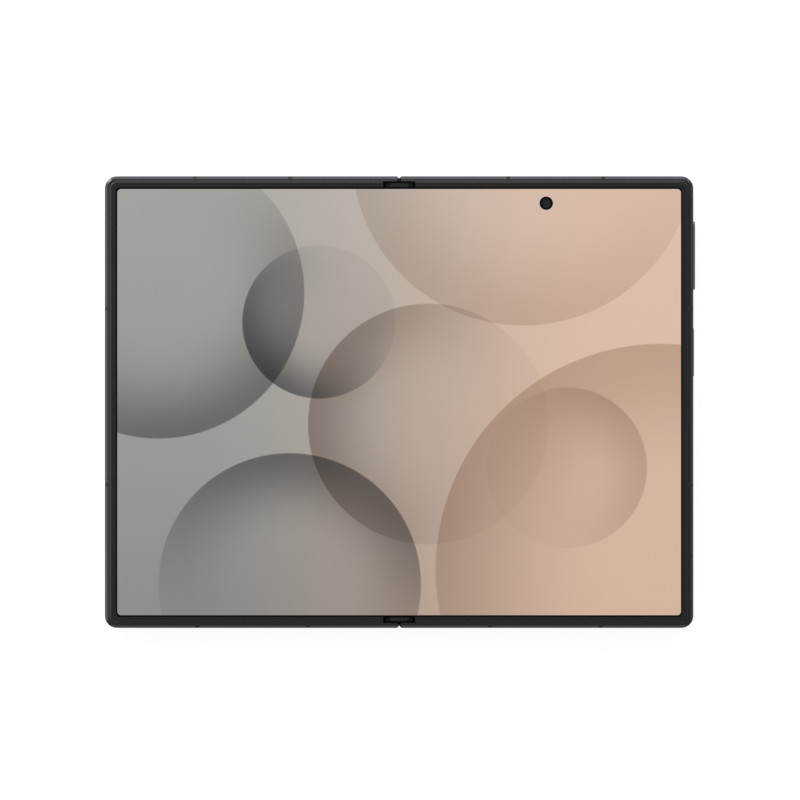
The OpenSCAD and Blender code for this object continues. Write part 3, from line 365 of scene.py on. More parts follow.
@dataclass(frozen=True)
class Metal(Finish):
    """Metal with a fine grain, slight mottling and an optional clear coat."""

    colour: Rgb
    roughness: float = 0.35
    rough_share: float = 0.12
    grain: Grain = Grain.BLASTED
    grain_size: float = 0.12 * MM
    grain_depth: float = 0.004 * MM
    broad_size: float = 9 * MM
    mottle: float = 0.06
    coat: float = 0.0
    edge_tint: float = 1.0

    def paint(self, g: Graph) -> None:
        """Paints the metal."""
        broad = g.noise(g.coordinates(), self.broad_size, 3.0)
        fine = g.noise(g.coordinates(stretch=self.grain.value), self.grain_size, 2.0, 0.6)
        shade = g.clamp(broad * 0.6 + fine * 0.4)
        wear = g.clamp(fine * 0.7 + broad * 0.3)
        g.principled(Base_Color=g.mottled(shade, self.colour, self.mottle), Metallic=1.0,
                     Roughness=g.around(wear, self.roughness, self.rough_share),
                     Coat_Weight=self.coat, Coat_Roughness=0.08,
                     Specular_Tint=(self.edge_tint,) * 3 + (1.0,),
                     Normal=g.bump(fine, self.grain_depth))


@dataclass(frozen=True)
class Plastic(Finish):
    """Moulded plastic with a fine texture, clear-coated all over or only below a height."""

    colour: Rgb
    roughness: float = 0.5
    rough_share: float = 0.15
    specular: float = 0.3
    texture_size: float = 0.09 * MM
    texture_depth: float = 0.003 * MM
    broad_size: float = 6 * MM
    mottle: float = 0.1
    coat: float = 0.0
    coat_below: Optional[float] = None
    coat_fade: float = 0.02 * MM

    def paint(self, g: Graph) -> None:
        """Paints the plastic."""
        place = g.coordinates()
        broad = g.noise(place, self.broad_size, 3.0)
        fine = g.noise(place, self.texture_size, 2.0, 0.6)
        coat: Operand = self.coat
        if self.coat_below is not None:
            height = g.parts(place)[2]
            coat = (1 - g.step(height, self.coat_below - self.coat_fade, self.coat_below)) * self.coat
        wear = g.clamp(fine * 0.5 + broad * 0.5)
        g.principled(Base_Color=g.mottled(broad, self.colour, self.mottle),
                     Roughness=g.around(wear, self.roughness, self.rough_share),
                     Specular_IOR_Level=self.specular, Coat_Weight=coat,
                     Coat_Roughness=0.12, Normal=g.bump(fine, self.texture_depth))


@dataclass(frozen=True)
class CapPlastic(Finish):
    """Black plastic of the hinge's end caps: dull below and satin on the raised middle."""

    step_z: float
    dull: Rgb = (18, 18, 20)
    satin: Rgb = (29, 30, 30)
    fade: float = 0.03 * MM
    texture_size: float = 0.09 * MM
    texture_depth: float = 0.003 * MM

    def paint(self, g: Graph) -> None:
        """Paints the plastic."""
        place = g.coordinates()
        fine = g.noise(place, self.texture_size, 2.0, 0.6)
        raised = g.step(g.parts(place)[2], self.step_z - self.fade, self.step_z + self.fade)
        g.principled(Base_Color=g.mix(raised, linear(self.dull), linear(self.satin)),
                     Roughness=g.clamp(0.5 - raised * 0.16 + (fine - 0.5) * 0.1),
                     Specular_IOR_Level=0.03, Normal=g.bump(fine, self.texture_depth))


@dataclass(frozen=True)
class Glass(Finish):
    """Glass over a printed layer, glossy or etched, or clear where it lets light through."""

    colour: Rgb
    roughness: float = 0.06
    specular: float = 0.5
    clearness: float = 0.0
    smear_size: float = 14 * MM
    etch_size: float = 0.07 * MM
    etch_depth: float = 0.0
    speckle: float = 0.05

    def paint(self, g: Graph) -> None:
        """Paints the glass."""
        place = g.coordinates()
        smear = g.noise(place, self.smear_size, 4.0, 0.55)
        etch = g.noise(place, self.etch_size, 2.0, 0.7)
        g.principled(Base_Color=g.mottled(etch, self.colour, self.speckle),
                     Roughness=g.span(smear, self.roughness * 0.85, self.roughness * 1.2),
                     Specular_IOR_Level=self.specular, Alpha=1 - self.clearness,
                     Normal=g.bump(etch, self.etch_depth) if self.etch_depth else None)


@dataclass(frozen=True)
class CoverGlass(Finish):
    """Black cover glass through which the panel's active area and the outer camera just show; the camera is
    painted in rings, with painted reflections on its lens.
    """

    low: Point
    high: Point
    camera: Pair
    border: Rgb = (6, 6, 7)
    panel: Rgb = (26, 27, 32)
    margin: float = 1.1 * MM
    corner: float = 2.2 * MM
    fade: float = 0.05 * MM
    roughness: float = 0.05
    smear_size: float = 16 * MM
    camera_radius: float = 1.9 * MM

    def paint(self, g: Graph) -> None:
        """Paints the glass with its faint active area."""
        x, y, _ = g.parts(g.coordinates(tuple((a + b) / 2 for a, b in zip(self.low, self.high))))
        half = tuple((b - a) / 2 - self.margin for a, b in zip(self.low[:2], self.high))
        active = g.rounded(x, y, half, self.corner, self.fade)
        reach = g.radius((*self.camera, 0)) / self.camera_radius
        # The outer camera painted as rings; the two pale bluish rings are painted reflections on its lens.
        camera_with_painted_glints = g.ramp(reach, (0.0, (8, 9, 16)), (0.16, (56, 66, 100)), (0.26, (10, 12, 24)),
                        (0.34, (60, 68, 88)), (0.37, (2, 2, 2)), (0.42, (36, 36, 38)),
                        (0.7, (28, 28, 30)), (0.74, (2, 2, 2)), (1.0, (2, 2, 2)))
        face = g.mix(active, linear(self.border), linear(self.panel))
        smear = g.noise(g.coordinates(), self.smear_size, 4.0)
        g.principled(Base_Color=g.mix(g.step(reach, 0.96, 1.0), camera_with_painted_glints, face),
                     Roughness=g.span(smear, self.roughness * 0.8, self.roughness * 1.4),
                     Specular_IOR_Level=0.3)


@dataclass(frozen=True)
class Board(Finish):
    """Circuit board: solder mask over thin tracks, with bare pads."""

    colour: Rgb = (24, 74, 50)
    track: Rgb = (40, 104, 68)
    pad: Rgb = (196, 164, 96)
    tracks_per_metre: float = 520.0
    pads_per_metre: float = 900.0
    depth: float = 0.02 * MM

    def paint(self, g: Graph) -> None:
        """Paints the board."""
        place = g.coordinates()
        bricks = g.sock(g.add(
            "ShaderNodeTexBrick", {"offset": 0.37, "squash": 0.6, "squash_frequency": 3},
            {"Vector": place, "Scale": self.tracks_per_metre, "Mortar Size": 0.045, "Mortar Smooth": 0.2,
             "Brick Width": 0.9, "Row Height": 0.28}), 1)
        cells = g.add("ShaderNodeTexVoronoi", {"feature": "F1"}, {
            "Vector": place, "Scale": self.pads_per_metre})
        pads = 1 - g.step(g.sock(cells), 0.12, 0.16)
        mask = g.mix(bricks, linear(self.colour), linear(self.track))
        g.principled(Base_Color=g.mix(pads, mask, linear(self.pad)), Metallic=pads * 0.9,
                     Roughness=g.span(g.noise(place, 5 * MM), 0.3, 0.42),
                     Normal=g.bump(g.clamp(bricks * 0.6 + pads * 0.4), self.depth))


@dataclass(frozen=True)
class Pouch(Finish):
    """Laminated foil pouch of a battery, slightly wrinkled."""

    colour: Rgb = (44, 45, 48)
    wrinkle_size: float = 3.5 * MM
    wrinkle_depth: float = 0.08 * MM

    def paint(self, g: Graph) -> None:
        """Paints the foil."""
        wrinkle = g.noise(g.coordinates(), self.wrinkle_size, 5.0, 0.55)
        fine = g.noise(g.coordinates(stretch=(1, 0.2, 1)), 0.5 * MM, 3.0)
        colour = g.mix(wrinkle, linear(self.colour), linear(tuple(c * 1.25 for c in self.colour)))
        g.principled(Base_Color=colour, Metallic=0.35, Roughness=g.span(fine, 0.32, 0.45),
                     Normal=g.bump(g.clamp(wrinkle * 0.8 + fine * 0.2), self.wrinkle_depth))


@dataclass(frozen=True)
class Flex(Finish):
    """Amber film of a flexible circuit with copper tracks across the fold."""

    film: Rgb = (150, 92, 34)
    track: Rgb = (196, 124, 58)
    pitch: float = 0.42 * MM
    track_height: float = 0.015 * MM

    def paint(self, g: Graph) -> None:
        """Paints the film; the tracks lie side by side along Y, which doesn't change as it bends."""
        y = g.parts(g.coordinates())[1]
        tracks = g.step(g.math("PINGPONG", y / self.pitch, 0.5) * 2, 0.42, 0.55)
        broad = g.noise(g.coordinates(), 4 * MM)
        g.principled(Base_Color=g.mix(tracks, linear(self.film), linear(self.track)),
                     Metallic=tracks * 0.5, Roughness=g.span(broad, 0.28, 0.4), Coat_Weight=0.4,
                     Coat_Roughness=0.1, Normal=g.bump(tracks, self.track_height))


@dataclass(frozen=True)
class Phosphor(Finish):
    """Clear flash lens over a yellow emitter, with rings about the lens's centre."""

    centre: Point
    rings: float = 0.22 * MM
    ring_height: float = 0.05 * MM
    emitter: Pair = (0.75 * MM, 1.05 * MM)

    def paint(self, g: Graph) -> None:
        """Paints the lens."""
        radius = g.radius(self.centre)
        ridges = g.math("FRACT", radius / self.rings)
        colour = g.mix(1 - g.step(radius, *self.emitter), linear((226, 222, 206)), linear((238, 208, 110)))
        g.principled(Base_Color=colour, Roughness=g.span(ridges, 0.14, 0.24), Coat_Weight=0.6,
                     Coat_Roughness=0.04, Normal=g.bump(ridges, self.ring_height, 0.6))


@dataclass(frozen=True)
class SmallLens(Finish):
    """Front camera's lens: dark glass with bluish coatings in rings and a painted reflection, a pale glint
    off its centre.
    """

    centre: Point
    radius: float
    painted_glint_centre: Pair = (0.3 * MM, -0.28 * MM)
    painted_glint_fade: Pair = (0.12 * MM, 0.3 * MM)

    def paint(self, g: Graph) -> None:
        """Paints the lens's material."""
        x, y, _ = g.parts(g.coordinates(self.centre))
        reach = g.length(x, y) / self.radius
        rings = g.ramp(reach, (0.0, (5, 6, 12)), (0.35, (16, 20, 34)), (0.55, (6, 8, 16)),
                       (0.8, (12, 14, 20)), (1.0, (6, 6, 8)))
        # Painted reflection: a pale glint low and right of the centre stands for light off an inner
        # element.
        painted_glint_mask = 1 - g.step(g.length(x - self.painted_glint_centre[0], y - self.painted_glint_centre[1]), *self.painted_glint_fade)
        g.principled(Base_Color=g.mix(painted_glint_mask, rings, linear((66, 74, 82))),
                     Roughness=g.span(reach, 0.06, 0.1), Specular_IOR_Level=0.08)


@dataclass(frozen=True)
class LensCoating(Finish):
    """Front lens with coloured anti-reflective coatings in rings about each camera's axis."""

    centres: tuple[Pair, ...]
    radius: float

    def paint(self, g: Graph) -> None:
        """Paints the coating."""
        reach = g.math("MINIMUM", *(g.radius((*centre, 0)) for centre in self.centres))
        rings = g.ramp(reach / self.radius, (0.0, (4, 4, 6)), (0.34, (6, 7, 14)), (0.42, (28, 24, 60)),
                       (0.58, (14, 30, 52)), (0.78, (40, 20, 44)), (1.0, (8, 8, 10)))
        g.principled(Base_Color=rings, Roughness=0.03, Specular_IOR_Level=0.8,
                     Coat_Weight=0.5, Coat_Roughness=0.02)


@dataclass(frozen=True)
class Disc:
    """One large soft translucent disc of the picture on the screen, in millimetres from its middle.

    Its darkest edge lies toward an angle in degrees, is as dark as depth says, from 0 to 1, and fades
    inwards over reach, a share of the radius. The disc multiplies what is behind it by its tint.
    """

    centre: Pair
    radius: float
    toward: float
    depth: float
    reach: float
    tint: Rgb
    edge: float = 0.22

    def shade(self, g: Graph, x: Sock, y: Sock, behind: Sock) -> Sock:
        """Lays the disc over what is behind it.

        Args:
            g: Graph of the screen.
            x: Place across the fold, in millimetres.
            y: Place along the fold, in millimetres.
            behind: Colour behind the disc.

        Returns:
            The colour with the disc over it.
        """
        dx, dy = x - self.centre[0], y - self.centre[1]
        distance = g.length(dx, dy) / self.radius
        soft, toward = self.edge / self.radius, math.radians(self.toward)
        inside = 1 - g.step(distance, 1 - soft, 1 + soft)
        fade = g.step(distance, 1 - self.reach, 1.0)
        side = g.step((dx * math.cos(toward) + dy * math.sin(toward)) / self.radius, -0.75, 1.0)
        amount = inside * self.depth * (0.12 + 0.88 * (fade ** 1.3) * side)
        return g.mix(amount, behind, linear(self.tint), "MULTIPLY")


@dataclass(frozen=True)
class Screen(Finish):
    """Folding screen: a soft glow from the picture under an anti-reflective film, dark when it is shut."""

    half_size: Pair
    corner: float
    uv_scale: float
    left: tuple[Rgb, Rgb] = ((168, 170, 166), (140, 142, 141))
    middle: tuple[Rgb, Rgb] = ((194, 181, 170), (174, 156, 143))
    right: tuple[Rgb, Rgb] = ((221, 192, 173), (214, 183, 161))
    shut_reach: float = 30 * MM
    specular: float = 0.007

    def discs(self) -> list[Disc]:
        """The picture's discs, from back to front."""
        slate, clay, sand = (96, 101, 109), (150, 133, 122), (182, 160, 143)
        return [
            Disc((72, -46), 62, 120, 0.5, 0.8, sand),
            Disc((34, 68), 47, 250, 0.34, 0.8, sand),
            Disc((-66, 30), 40, 300, 0.66, 0.75, slate),
            Disc((8, -6), 33, 165, 0.62, 0.85, clay),
            Disc((-30, -50), 36, 70, 0.74, 0.75, slate),
            Disc((-22, 22), 21, 215, 0.8, 0.9, slate),
            Disc((46, -18), 22, 20, 0.34, 0.9, clay),
        ]

    def paint(self, g: Graph) -> None:
        """Paints the screen. It is awake where nothing stands close in front of it."""
        uv = g.sock(g.add("ShaderNodeUVMap", {"uv_map": "screen"}))
        x, y = ((c - 0.5) * (self.uv_scale / MM) for c in g.parts(uv)[:2])
        half_x, half_y = (size / MM for size in self.half_size)
        across = g.step(x / (2 * half_x) + 0.5, 0.08, 0.92)
        up = g.clamp(y / (2 * half_y) + 0.5)
        columns = [g.mix(up, linear(c[1]), linear(c[0])) for c in (self.left, self.middle, self.right)]
        west = g.mix(g.clamp(across * 2), columns[0], columns[1])
        picture = g.mix(g.clamp(across * 2 - 1), west, columns[2])
        for disc in self.discs():
            picture = disc.shade(g, x, y, picture)
        lit = g.rounded(x, y, (half_x, half_y), self.corner / MM, 0.03)
        around = g.add("ShaderNodeAmbientOcclusion", {"samples": 8}, {"Distance": self.shut_reach})
        awake = g.step(g.sock(around, "AO"), 0.1, 0.3)
        smear = g.noise(uv, 0.12, 3.0)
        g.principled(Base_Color=g.mix(smear, (0.001, 0.001, 0.001, 1), (0.002, 0.002, 0.002, 1)),
                     Roughness=g.span(smear, 0.1, 0.14), Specular_IOR_Level=self.specular,
                     Emission_Color=g.mix(lit * awake, (0, 0, 0, 1), picture), Emission_Strength=1.0)


ANODISED = Metal("anodised_frame", (40, 40, 43), roughness=0.25, grain_size=0.1 * MM,
                 grain_depth=0.002 * MM, edge_tint=0.3)
KEY_METAL = Metal("anodised_keys", (84, 84, 88), roughness=0.3, grain_size=0.1 * MM,
                  grain_depth=0.002 * MM, edge_tint=0.3)
SPINE_METAL = Metal("anodised_spine", (44, 44, 50), roughness=0.22, grain=Grain.BRUSHED_Y,
                    grain_depth=0.001 * MM, edge_tint=0.5)
RING_METAL = Metal("lens_ring_metal", (50, 50, 55), roughness=0.18, grain=Grain.TURNED, coat=0.3)
STEEL = Metal("stamped_steel", (176, 177, 180), roughness=0.3, grain=Grain.BRUSHED_X)
GEAR_STEEL = Metal("sintered_steel", (148, 150, 154), roughness=0.4, grain_depth=0.008 * MM)
SCREW_STEEL = Metal("screw_steel", (128, 129, 134), roughness=0.28, grain=Grain.TURNED)
SHAFT_STEEL = Metal("ground_steel", (186, 187, 190), roughness=0.2, grain=Grain.BRUSHED_X)
SPRING_STEEL = Metal("straw_steel", (170, 150, 100), roughness=0.28)
NICKEL = Metal("nickel_plate", (164, 162, 158), roughness=0.2)
COPPER = Metal("copper_sheet", (196, 120, 78), roughness=0.3, grain=Grain.BRUSHED_Y, mottle=0.12)
GOLD = Metal("gold_contact", (214, 172, 92), roughness=0.22)
MESH_WIRE = Metal("sound_mesh", (60, 60, 62), roughness=0.45)
TRIM = Plastic("trim_plastic", (26, 26, 26), roughness=0.48, specular=0.04, coat=0.08,
               coat_below=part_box("main_trim")[1].z - 0.01 * MM)
STRIP = Plastic("antenna_plastic", (40, 40, 43), roughness=0.65, specular=0.02)
BLACK = Plastic("black_plastic", (20, 20, 21), roughness=0.45)
TONGUE = Plastic("tongue_plastic", (16, 16, 17), roughness=0.35, specular=0.35)
CAMERA_MASK = Plastic("camera_mask", (3, 3, 3), specular=0.02)
CAMERA_FACE = Plastic("camera_face", (18, 19, 21), roughness=0.4, specular=0.06)
CAMERA_BARREL = Plastic("camera_barrel", (20, 20, 21), specular=0.1)
BACK = Glass("etched_back_glass", (46, 47, 54), roughness=0.34, specular=0.4, etch_depth=0.004 * MM)
LENS_COVER = Glass("lens_cover_glass", (8, 8, 10), roughness=0.02, clearness=0.82, speckle=0.0)


# ---------- meshes


def in_scene(name: str, data: ID) -> Object:
    """Makes an object and links it to the scene.

    Args:
        name: Name of the object.
        data: Its mesh, lamp or camera.

    Returns:
        The new object.
    """
    thing = bpy.data.objects.new(name, data)
    bpy.context.scene.collection.objects.link(thing)
    return thing


def evaluated(thing: Object) -> Mesh:
    """Turns an object with its modifiers into a plain mesh."""
    bpy.context.view_layer.update()
    return bpy.data.meshes.new_from_object(thing.evaluated_get(bpy.context.evaluated_depsgraph_get()))


def placed(name: str, mesh: Mesh, material: Material, smooth_below: float = 30.0) -> Object:
    """Makes a piece from a mesh, dresses it and reports it.

    Args:
        name: Name of the piece.
        mesh: Its mesh, in metres and in place.
        material: Its material.
        smooth_below: Edges that turn by less than this many degrees are smooth.

    Returns:
        The new object, at the origin.
    """
    mesh.polygons.foreach_set("use_smooth", [True] * len(mesh.polygons))
    mesh.set_sharp_from_angle(angle=math.radians(smooth_below))
    mesh.materials.clear()
    mesh.materials.append(material)
    LOG.info("%s: %d faces, %s", name, len(mesh.polygons), material.name)
    return in_scene(name, mesh)


def shown(name: str, shape: BMesh, material: Material, smooth_below: float = 30.0) -> Object:
    """Makes a piece from a bmesh, with its faces outwards.

    Args:
        name: Name of the piece.
        shape: Its mesh, in metres and in place; it is freed.
        material: Its material.
        smooth_below: Edges that turn by less than this many degrees are smooth.

    Returns:
        The new object, at the origin.
    """
    bmesh.ops.recalc_face_normals(shape, faces=shape.faces[:])
    mesh = bpy.data.meshes.new(name)
    shape.to_mesh(mesh)
    shape.free()
    return placed(name, mesh, material, smooth_below)


def turned(profile: Sequence[Pair], centre: Point, sides: int = 48,
           shape: Optional[BMesh] = None) -> BMesh:
    """Turns a profile about the vertical through a point into a closed solid.

    Args:
        profile: Radius and height pairs round the section, in millimetres.
        centre: Point on the axis, in metres; heights are measured from it.
        sides: Number of sides.
        shape: Bmesh to add to, or None for a new one.

    Returns:
        The bmesh.
    """
    shape = shape or bmesh.new()
    turns = [2 * math.pi * i / sides for i in range(sides)]
    rings = []
    for radius, height in profile:
        offsets = [Vector((radius * math.cos(a), radius * math.sin(a), height)) for a in turns]
        rings.append([shape.verts.new(Vector(centre) + offset * MM)
                      for offset in (offsets if radius else offsets[:1])])
    closing = [(rings[-1], rings[0])] if len(rings[0]) > 1 else []
    for low, high in [*zip(rings, rings[1:]), *closing]:
        for i in range(sides):
            j = (i + 1) % sides
            corners = [low[i], low[j]] if len(low) > 1 else [low[0]]
            corners += [high[j], high[i]] if len(high) > 1 else [high[0]]
            if len(corners) > 2:
                shape.faces.new(corners)
    return shape


def strip(shape: BMesh, lines: Sequence[Point], low: float, high: float) -> None:
    """Adds a flat closed strip to a bmesh.

    Args:
        shape: Bmesh to add to.
        lines: X and both ends in Y of each line across the strip.
        low: Height of its underside.
        high: Height of its top.
    """
    rows = [[shape.verts.new((x, y, z)) for y, z in ((start, low), (end, low), (end, high), (start, high))]
            for x, start, end in lines]
    for near, far in zip(rows, rows[1:]):
        for i, j in ((0, 1), (1, 2), (2, 3), (3, 0)):
            shape.faces.new((near[i], near[j], far[j], far[i]))
    shape.faces.new(rows[0])
    shape.faces.new(rows[-1][::-1])


class Recipe(Nodes):
    """A Geometry Nodes tree with named inputs, baked to a plain mesh."""

    def __init__(self, name: str, **inputs: Union[float, int, Point]) -> None:
        """Makes the tree.

        Args:
            name: Name of the piece that it makes.
            inputs: Its named inputs with their values.
        """
        super().__init__(bpy.data.node_groups.new(name, "GeometryNodeTree"))
        self.name = name
        self.values: dict[str, Any] = {}
        for key, value in inputs.items():
            kind = "Int" if isinstance(value, int) else "Float" if isinstance(value, float) else "Vector"
            item = self.tree.interface.new_socket(key, in_out="INPUT", socket_type=f"NodeSocket{kind}")
            self.values[item.identifier] = value
        self.tree.interface.new_socket("Geometry", in_out="OUTPUT", socket_type="NodeSocketGeometry")
        self.entry = self.add("NodeGroupInput")

    def given(self, key: str) -> Sock:
        """The value of a named input."""
        return self.sock(self.entry, key)

    def vector(self, x: Operand, y: Operand, z: Operand) -> Sock:
        """Joins three values to a vector."""
        return self.sock(self.add("ShaderNodeCombineXYZ", None, {0: x, 1: y, 2: z}))

    def moved(self, shape: Sock, **how: Any) -> Sock:
        """Transforms a shape by its Translation or Rotation."""
        return self.sock(self.add("GeometryNodeTransform", None, {0: shape, **how}))

    def row(self, shape: Sock, start: Sock) -> Sock:
        """Repeats a shape along X, as often as the input count says and as far apart as pitch.

        Args:
            shape: The shape.
            start: Place of the first one.

        Returns:
            The instances.
        """
        line = self.add("GeometryNodeMeshLine", None, {
            "Count": self.given("count"), "Start Location": start,
            "Offset": self.vector(self.given("pitch"), 0.0, 0.0)})
        return self.sock(self.add("GeometryNodeInstanceOnPoints", None, {
            "Points": self.sock(line), "Instance": shape}))

    def bake(self, shape: Sock, finish: Finish) -> Object:
        """Ends the tree with Realize Instances and Set Material, and keeps its result as a piece.

        Args:
            shape: The shape that the tree ends in.
            finish: Its finish.

        Returns:
            The new object.
        """
        real = self.add("GeometryNodeRealizeInstances", None, {0: shape})
        last = self.add("GeometryNodeSetMaterial", None, {
            "Geometry": self.sock(real), "Material": dressed(finish)})
        self.add("NodeGroupOutput", None, {0: self.sock(last)})
        host = in_scene(self.name + "_host", bpy.data.meshes.new(self.name + "_host"))
        modifier = host.modifiers.new(self.name, "NODES")
        modifier.node_group = self.tree
        for identifier, value in self.values.items():
            modifier[identifier] = value
        mesh = evaluated(host)
        mesh.name = self.name
        host.modifiers.remove(modifier)
        bpy.data.objects.remove(host)
        return placed(self.name, mesh, dressed(finish))


def dress(finish: Finish, *names: str) -> None:
    """Gives CAD nodes a finish.

    Args:
        finish: The finish.
        names: Names of the nodes.
    """
    for name in names:
        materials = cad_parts[name].data.materials
        materials.clear()
        materials.append(dressed(finish))
        LOG.info("%s: finish %s", name, finish.name)


def middle(name: str) -> Vector:
    """Centre of a CAD node's box."""
    low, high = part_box(name)
    return (low + high) / 2


# ---------- sub-assemblies


class Half(Enum):
    """The two halves of the phone: what they are called and on which side of the fold they lie."""

    MAIN = ("main", 1)
    COVER = ("cover", -1)

    def __init__(self, word: str, side: int) -> None:
        """Keeps the half's word, its body and its side, 1 on +X and -1 on -X."""
        self.word, self.side = word, side
        self.body = word + "_half"


@dataclass
class FoldingScreen:
    """The folding display, as one sheet for each half that bends at the fold."""

    bend_start: float = 3.0 * MM
    bend_steps: int = 14
    hole_radius: float = 1.85 * MM
    lit_half: Pair = (77.3 * MM, 58.45 * MM)
    lit_corner: float = 1.05 * MM
    outer_corner: float = 1.2 * MM
    corner_steps: int = 8
    uv_scale: float = 0.2

    def stations(self) -> list[Pair]:
        """Lays out the sheet's lines, from the fold to the outer edge.

        Returns:
            Distance from the fold and half length of each line.
        """
        low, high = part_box("main_display")
        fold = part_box("display_fold")[1]
        lines = [(self.bend_start * i / self.bend_steps, fold.y) for i in range(self.bend_steps + 1)]
        lines += [(fold.x, fold.y), (low.x, high.y)]
        r = self.outer_corner
        for a in (math.pi / 2 * (1 - i / self.corner_steps) for i in range(self.corner_steps + 1)):
            lines.append((high.x - r + r * math.cos(a), high.y - r + r * math.sin(a)))
        return lines

    def sheet(self, half: Half, material: Material) -> Object:
        """Builds one half's sheet, smooth only where it bends.

        Args:
            half: Which half.
            material: Material of the screen.

        Returns:
            The sheet.
        """
        low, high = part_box("main_display")
        shape = bmesh.new()
        strip(shape, [(half.side * x, -y, y) for x, y in self.stations()], low.z, high.z)
        piece = shown(f"{half.word}_screen_sheet", shape, material)
        if half is Half.MAIN:
            self.cut_hole(piece, high.z)
        mesh = piece.data
        bend_end = self.bend_start + 0.001 * MM
        for face in mesh.polygons:
            face.use_smooth = all(abs(mesh.vertices[i].co.x) <= bend_end for i in face.vertices)
        self.map_picture(mesh)
        return piece

    def cut_hole(self, piece: Object, top: float) -> None:
        """Cuts the round hole for the front camera.

        Args:
            piece: The main half's sheet.
            top: Height of its top.
        """
        at, r, material = middle("front_camera"), self.hole_radius / MM, piece.data.materials[0]
        drill = turned([(0, -2), (r, -2), (r, 2), (0, 2)], (at.x, at.y, top), 96)
        tool = shown("hole_tool", drill, material)
        cut = piece.modifiers.new("hole", "BOOLEAN")
        cut.object, cut.operation, cut.solver = tool, "DIFFERENCE", "EXACT"
        mesh, old = evaluated(piece), piece.data
        piece.modifiers.remove(cut)
        piece.data = mesh
        bpy.data.meshes.remove(old)
        bpy.data.objects.remove(tool)
        mesh.materials.clear()
        mesh.materials.append(material)
        mesh.polygons.foreach_set("material_index", [0] * len(mesh.polygons))

    def map_picture(self, mesh: Mesh) -> None:
        """Writes the UV map that carries the picture, so that it stays on the sheet as it bends.

        Args:
            mesh: Mesh of the sheet, laid flat.
        """
        layer = mesh.uv_layers.get("screen") or mesh.uv_layers.new(name="screen")
        for loop in mesh.loops:
            place = mesh.vertices[loop.vertex_index].co
            layer.data[loop.index].uv = (place.x / self.uv_scale + 0.5, place.y / self.uv_scale + 0.5)

    def build(self) -> None:
        """Builds both sheets, with fine lines across the fold where they bend."""
        finish = Screen("folding_screen", self.lit_half, self.lit_corner, self.uv_scale)
        for half in Half:
            piece = self.sheet(half, dressed(finish))
            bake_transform(piece)
            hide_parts("main_display" if half is Half.MAIN else "cover_display", "display_fold")


@dataclass
class FrontCamera:
    """What shows in the hole of the screen: a black mask ring, the barrel's face and its small lens.

    Sizes are in millimetres, and heights are measured from the top of the camera's barrel.
    """

    mask_outer: float = 1.75
    mask_inner: float = 1.3
    face_outer: float = 1.28
    lens_radius: float = 0.62
    foot: float = -0.04
    well: float = -0.3
    lens_rim: float = -0.32
    lens_foot: float = -0.36
    lens_edge: float = 0.93

    def mask(self) -> list[Pair]:
        """Section of the mask ring, rounded at its outer edge."""
        outer, inner = self.mask_outer, self.mask_inner
        return [(outer - 0.08, self.foot), (outer, 0.01), (outer - 0.06, 0.05), (inner + 0.05, 0.05),
                (inner, 0.02), (inner, self.foot)]

    def face(self) -> list[Pair]:
        """Section of the barrel's face, which steps down to the lens."""
        outer, lens, well = self.face_outer, self.lens_radius, self.well
        return [(outer, self.foot), (outer, 0.015), (outer - 0.04, 0.03), (lens + 0.2, 0.01),
                (lens + 0.12, -0.05), (lens + 0.04, -0.06), (lens + 0.02, -0.16), (lens - 0.02, -0.2),
                (lens - 0.02, well), (outer - 0.3, well), (outer - 0.3, self.foot)]

    def lens(self) -> list[Pair]:
        """Section of the domed lens, whose top is level with the barrel's."""
        edge = self.lens_radius - 0.04
        dome = [(self.lens_radius * r, self.lens_rim * (r / self.lens_edge) ** 2)
                for r in (0.85, 0.75, 0.6, 0.45, 0.3, 0.15, 0.0)]
        return [(0.0, self.lens_foot), (edge, self.lens_foot), (edge, self.lens_rim)] + dome

    def build(self) -> None:
        """Builds the mask, the face and the lens."""
        at = middle("front_camera")
        centre = (at.x, at.y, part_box("front_camera")[1].z)
        coating = SmallLens("front_lens_coating", centre, self.lens_radius * MM)
        for part, profile, sides, finish, smooth in (("mask", self.mask(), 64, CAMERA_MASK, 30.0),
                                                     ("face", self.face(), 64, CAMERA_FACE, 20.0),
                                                     ("lens", self.lens(), 48, coating, 30.0)):
            piece = shown(f"front_camera_{part}", turned(profile, centre, sides), dressed(finish), smooth)
            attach(piece, "main_half")
        dress(CAMERA_BARREL, "front_camera")


